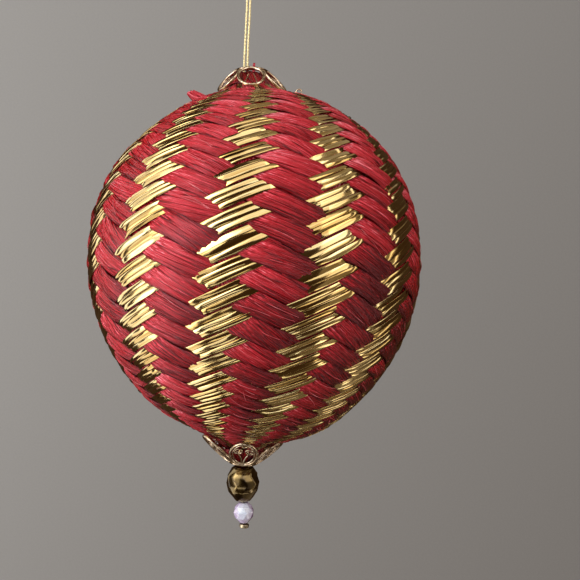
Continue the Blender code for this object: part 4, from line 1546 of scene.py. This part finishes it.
def loose_fibres():
    """Scatters single fibres over the red floats."""
    rng = np.random.default_rng(FIBRE_SEED)
    routes = [fibre_route(rng) for _ in range(FIBRE_COUNT)]
    made = draw_wires("loose_fibres", routes, FIBRE_RADIUS, resolution=FINE_WIRE)
    made.data.materials.append(fibre_finish)
    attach(made, "root")
    return made


fibres = loose_fibres()
print("loose fibres:", len(fibres.data.polygons), "faces")

# %% Loose foil
CURLS = (
    # middle, radius and how far it winds down in millimetres, turns
    ((9.4, -3.4, -26.9), 0.62, 0.9, 1.6),
    ((10.6, -4.6, -28.2), 0.38, 1.0, 1.4),
    ((12.2, -6.5, -29.4), 0.45, 1.2, 1.2),
)
CURL_POINTS = 40
CURL_NARROWS = 0.35
CURL_ASIDE = 0.5  # how far a curl winds to the right, as a share of how far it winds down
CURL_DEPTH = 0.3  # millimetres from its front end to its back end
CURL_RADIUS = 0.15 * MM


def foil_curls():
    """Makes the sprung curls of foil beside the right-hand gold column."""
    routes = []
    for middle, radius, drop, turns in CURLS:
        route = []
        for step in range(CURL_POINTS):
            share = step / (CURL_POINTS - 1)
            angle = math.tau * turns * share
            reach = radius * (1 - CURL_NARROWS * share)
            route.append((Vector(middle) + Vector((
                reach * math.cos(angle) + CURL_ASIDE * drop * share,
                CURL_DEPTH * (share - 0.5),
                reach * math.sin(angle) - drop * share,
            ))) * MM)
        routes.append(route)
    made = draw_wires("foil_curls", routes, CURL_RADIUS, resolution=FINE_WIRE)
    made.data.materials.append(gilt_finish)
    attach(made, "root")
    return made


curls = foil_curls()
print("foil curls:", len(curls.data.polygons), "faces")

# %% [markdown]
# ## The glass beads
# The drop is two fire polished glass beads on a pin. Fire polished beads are pressed, ground with flat
# facets and warmed, so the facets stay flat and their edges melt round. The upper bead has a mirror coat
# of bronze, and the lower one has a pearly coat. Each starts as a globe whose rings are put on the bead's
# profile, every second ring is turned by half a facet, and a hull round the points gives the facets. A
# bevel then rounds the edges between them, more on the bronze bead than on the pearly one.

# %% Bronze coated glass
BRONZE_CLOUDS = 420.0  # noise cells for each metre: the clouds are about 2.4 mm apart


def bronze_glass():
    """Glass with a fired bronze coat: a dark olive mirror, a little uneven, with a clear gloss."""
    made, tree = new_material("bronze_coated_glass")
    place = node(tree, "ShaderNodeTexCoord")
    patch = node(tree, "ShaderNodeTexNoise", {
        "Vector": (place, "Object"), "Scale": BRONZE_CLOUDS, "Detail": 2.0})
    colour = node(tree, "ShaderNodeValToRGB", {"Fac": (patch, "Fac")}, stops=[
        (0.30, "#3A2E20"), (0.5, "#66552F"), (0.75, "#857348")])
    bump = node(tree, "ShaderNodeBump", {"Height": (patch, "Fac"), "Strength": 0.12, "Distance": 0.05 * MM})
    shade(tree, {
        "Base Color": (colour, "Color"),
        "Normal": (bump, "Normal"),
        "Metallic": 1.0,
        "Roughness": 0.17,
        "Coat Weight": 0.5,
        "Coat Roughness": 0.05,
    })
    return made


bronze_finish = bronze_glass()
print("made", bronze_finish.name)

# %% Pearl coated glass
PEARL_CLOUDS = 600.0  # noise cells for each metre: the clouds are about 1.7 mm apart


def pearl_glass():
    """Milky glass with a pearly coat, whose sheen goes from bluish in the middle to lilac at the edges."""
    made, tree = new_material("pearl_coated_glass")
    facing = node(tree, "ShaderNodeLayerWeight", {"Blend": 0.45})
    place = node(tree, "ShaderNodeTexCoord")
    cloud = node(tree, "ShaderNodeTexNoise", {
        "Vector": (place, "Object"), "Scale": PEARL_CLOUDS, "Detail": 2.0})
    mixed = node(tree, "ShaderNodeMath", {
        0: (facing, "Facing"), 1: (cloud, "Fac"), 2: 0.1}, operation="MULTIPLY_ADD")
    colour = node(tree, "ShaderNodeValToRGB", {"Fac": (mixed, "Value")}, stops=[
        (0.1, "#BFCADC"), (0.3, "#B9AFCC"), (0.6, "#9483B0")])
    shade(tree, {
        "Base Color": (colour, "Color"),
        "Roughness": 0.16,
        "Subsurface Weight": 0.25,
        "Subsurface Radius": (0.8 * MM, 0.7 * MM, 0.9 * MM),
        "Coat Weight": 0.6,
        "Coat Roughness": 0.06,
    })
    return made


pearl_finish = pearl_glass()
print("made", pearl_finish.name)

# %% Pin metal
PIN_WEAR = 1800.0  # noise cells for each metre: the worn spots are about 0.6 mm apart


def steel_pin():
    """Drawn pin wire with a thin gilt wash, greyed by wear."""
    made, tree = new_material("gilt_steel_pin")
    place = node(tree, "ShaderNodeTexCoord")
    wear = node(tree, "ShaderNodeTexNoise", {"Vector": (place, "Object"), "Scale": PIN_WEAR, "Detail": 3.0})
    colour = node(tree, "ShaderNodeValToRGB", {"Fac": (wear, "Fac")}, stops=[
        (0.35, "#8C8170"), (0.7, "#B5A88C")])
    shade(tree, {"Base Color": (colour, "Color"), "Metallic": 1.0, "Roughness": 0.3})
    return made


pin_finish = steel_pin()
print("made", pin_finish.name)

# %% Sizes of the beads
DROP_TILT = 3.0  # degrees
CLEARANCE = 0.30 * MM  # between the beads, and between the cap and the first of them
# a bead's rings are heights and radii, as shares of its half length and its radius
BRONZE = {
    "length": 7.2 * MM,
    "radius": 3.35 * MM,
    "facets": 10,
    "worn": 0.30 * MM,
    "rings": (
        (1.0, 0.40), (0.84, 0.66), (0.46, 0.92), (0.02, 1.0),
        (-0.38, 0.92), (-0.78, 0.62), (-1.0, 0.42),
    ),
}
PEARL = {
    "length": 4.0 * MM,
    "radius": 2.1 * MM,
    "facets": 8,
    "worn": 0.10 * MM,
    "rings": (
        (1.0, 0.42), (0.90, 0.42), (0.64, 0.80), (0.10, 1.0),
        (-0.46, 0.88), (-0.90, 0.42), (-1.0, 0.42),
    ),
}
print("beads are", [round(2 * size["radius"] / MM, 1) for size in (BRONZE, PEARL)], "mm across")

# %% Beads
GLOBE_POLE = 0.999  # a point of the globe this high is a pole
SOFT_EDGE = math.radians(25)  # faces that meet at less are shaded as one


def drop_matrix():
    """Returns where the top of the drop is: under the cap's hub, leaning a little."""
    seat = hub_matrix(BOTTOM_CAP).translation
    top = seat - Vector((0, 0, CAP_WIRE + CLEARANCE))
    return Matrix.Translation(top) @ Matrix.Rotation(math.radians(-DROP_TILT), 4, "Y")


def faceted_bead(name, size, middle, finish, replaced):
    """Makes a faceted bead, with its middle that far below the top of the drop."""
    bpy.ops.object.select_all(action="DESELECT")
    bpy.ops.mesh.primitive_uv_sphere_add(segments=size["facets"], ring_count=len(size["rings"]) + 1, radius=1)
    bead = bpy.context.object
    bead.name = name
    place = drop_matrix() @ Matrix.Translation((0, 0, -middle))
    heights = sorted({round(vertex.co.z, 5) for vertex in bead.data.vertices}, reverse=True)[1:-1]
    for vertex in bead.data.vertices:
        level = min(range(len(heights)), key=lambda i: abs(heights[i] - vertex.co.z))
        height, share = size["rings"][level]
        radius = share * size["radius"]
        turn = math.atan2(vertex.co.y, vertex.co.x) + (math.pi / size["facets"] if level % 2 else 0)
        if abs(vertex.co.z) > GLOBE_POLE:
            radius = 0
            height = math.copysign(1.0, vertex.co.z)
        rise = height * size["length"] / 2
        vertex.co = place @ Vector((radius * math.cos(turn), radius * math.sin(turn), rise))
    bpy.ops.object.mode_set(mode="EDIT")
    bpy.ops.mesh.select_all(action="SELECT")
    bpy.ops.mesh.convex_hull(join_triangles=True)
    bpy.ops.object.mode_set(mode="OBJECT")
    soften = bead.modifiers.new("worn edges", "BEVEL")
    soften.width = size["worn"]
    soften.segments = 3
    bpy.ops.object.modifier_apply(modifier=soften.name)
    bpy.ops.object.shade_smooth_by_angle(angle=SOFT_EDGE)
    bead.data.materials.append(finish)
    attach(bead, "root")
    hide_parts(replaced)
    return bead


bronze_bead = faceted_bead(
    "bronze_bead_faceted", BRONZE, BRONZE["length"] / 2, bronze_finish, "bronze_bead")
pearl_bead = faceted_bead(
    "pearl_bead_faceted", PEARL, BRONZE["length"] + CLEARANCE + PEARL["length"] / 2,
    pearl_finish, "pearl_bead")
print("bead facets:", len(bronze_bead.data.polygons), len(pearl_bead.data.polygons))

# %% Head pin
SHANK_RADIUS = 0.35 * MM
SHANK_SIDES = 20
SHANK_IN_BALL = 4.2 * MM
HEAD_RADIUS = 0.95 * MM
HEAD_THICKNESS = 0.70 * MM
HEAD_SIDES = 24
HEAD_TILT = math.radians(7)
HEAD_WORN = 0.18 * MM


def head_pin():
    """Makes the pin: its shank through both beads, and its flat head below them."""
    bpy.ops.object.select_all(action="DESELECT")
    under = BRONZE["length"] + PEARL["length"] + 2 * CLEARANCE
    length = SHANK_IN_BALL + under
    bpy.ops.mesh.primitive_cylinder_add(vertices=SHANK_SIDES, radius=SHANK_RADIUS, depth=length)
    shank = bpy.context.object
    shank.data.transform(Matrix.Translation((0, 0, (SHANK_IN_BALL - under) / 2)))
    bpy.ops.mesh.primitive_cylinder_add(vertices=HEAD_SIDES, radius=HEAD_RADIUS, depth=HEAD_THICKNESS)
    head = bpy.context.object
    head.data.transform(Matrix.Rotation(HEAD_TILT, 4, "Y"))
    round_off = head.modifiers.new("rounded", "BEVEL")
    round_off.width = HEAD_WORN
    round_off.segments = 3
    bpy.ops.object.modifier_apply(modifier=round_off.name)
    head.data.transform(Matrix.Translation((0, 0, -under - HEAD_THICKNESS / 2)))
    pin = join([shank, head], "head_pin_wire")
    pin.data.transform(drop_matrix())
    pin.data.shade_smooth()
    pin.data.materials.append(pin_finish)
    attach(pin, "root")
    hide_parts("head_pin")
    return pin


pin = head_pin()
print("pin has", len(pin.data.polygons), "faces")
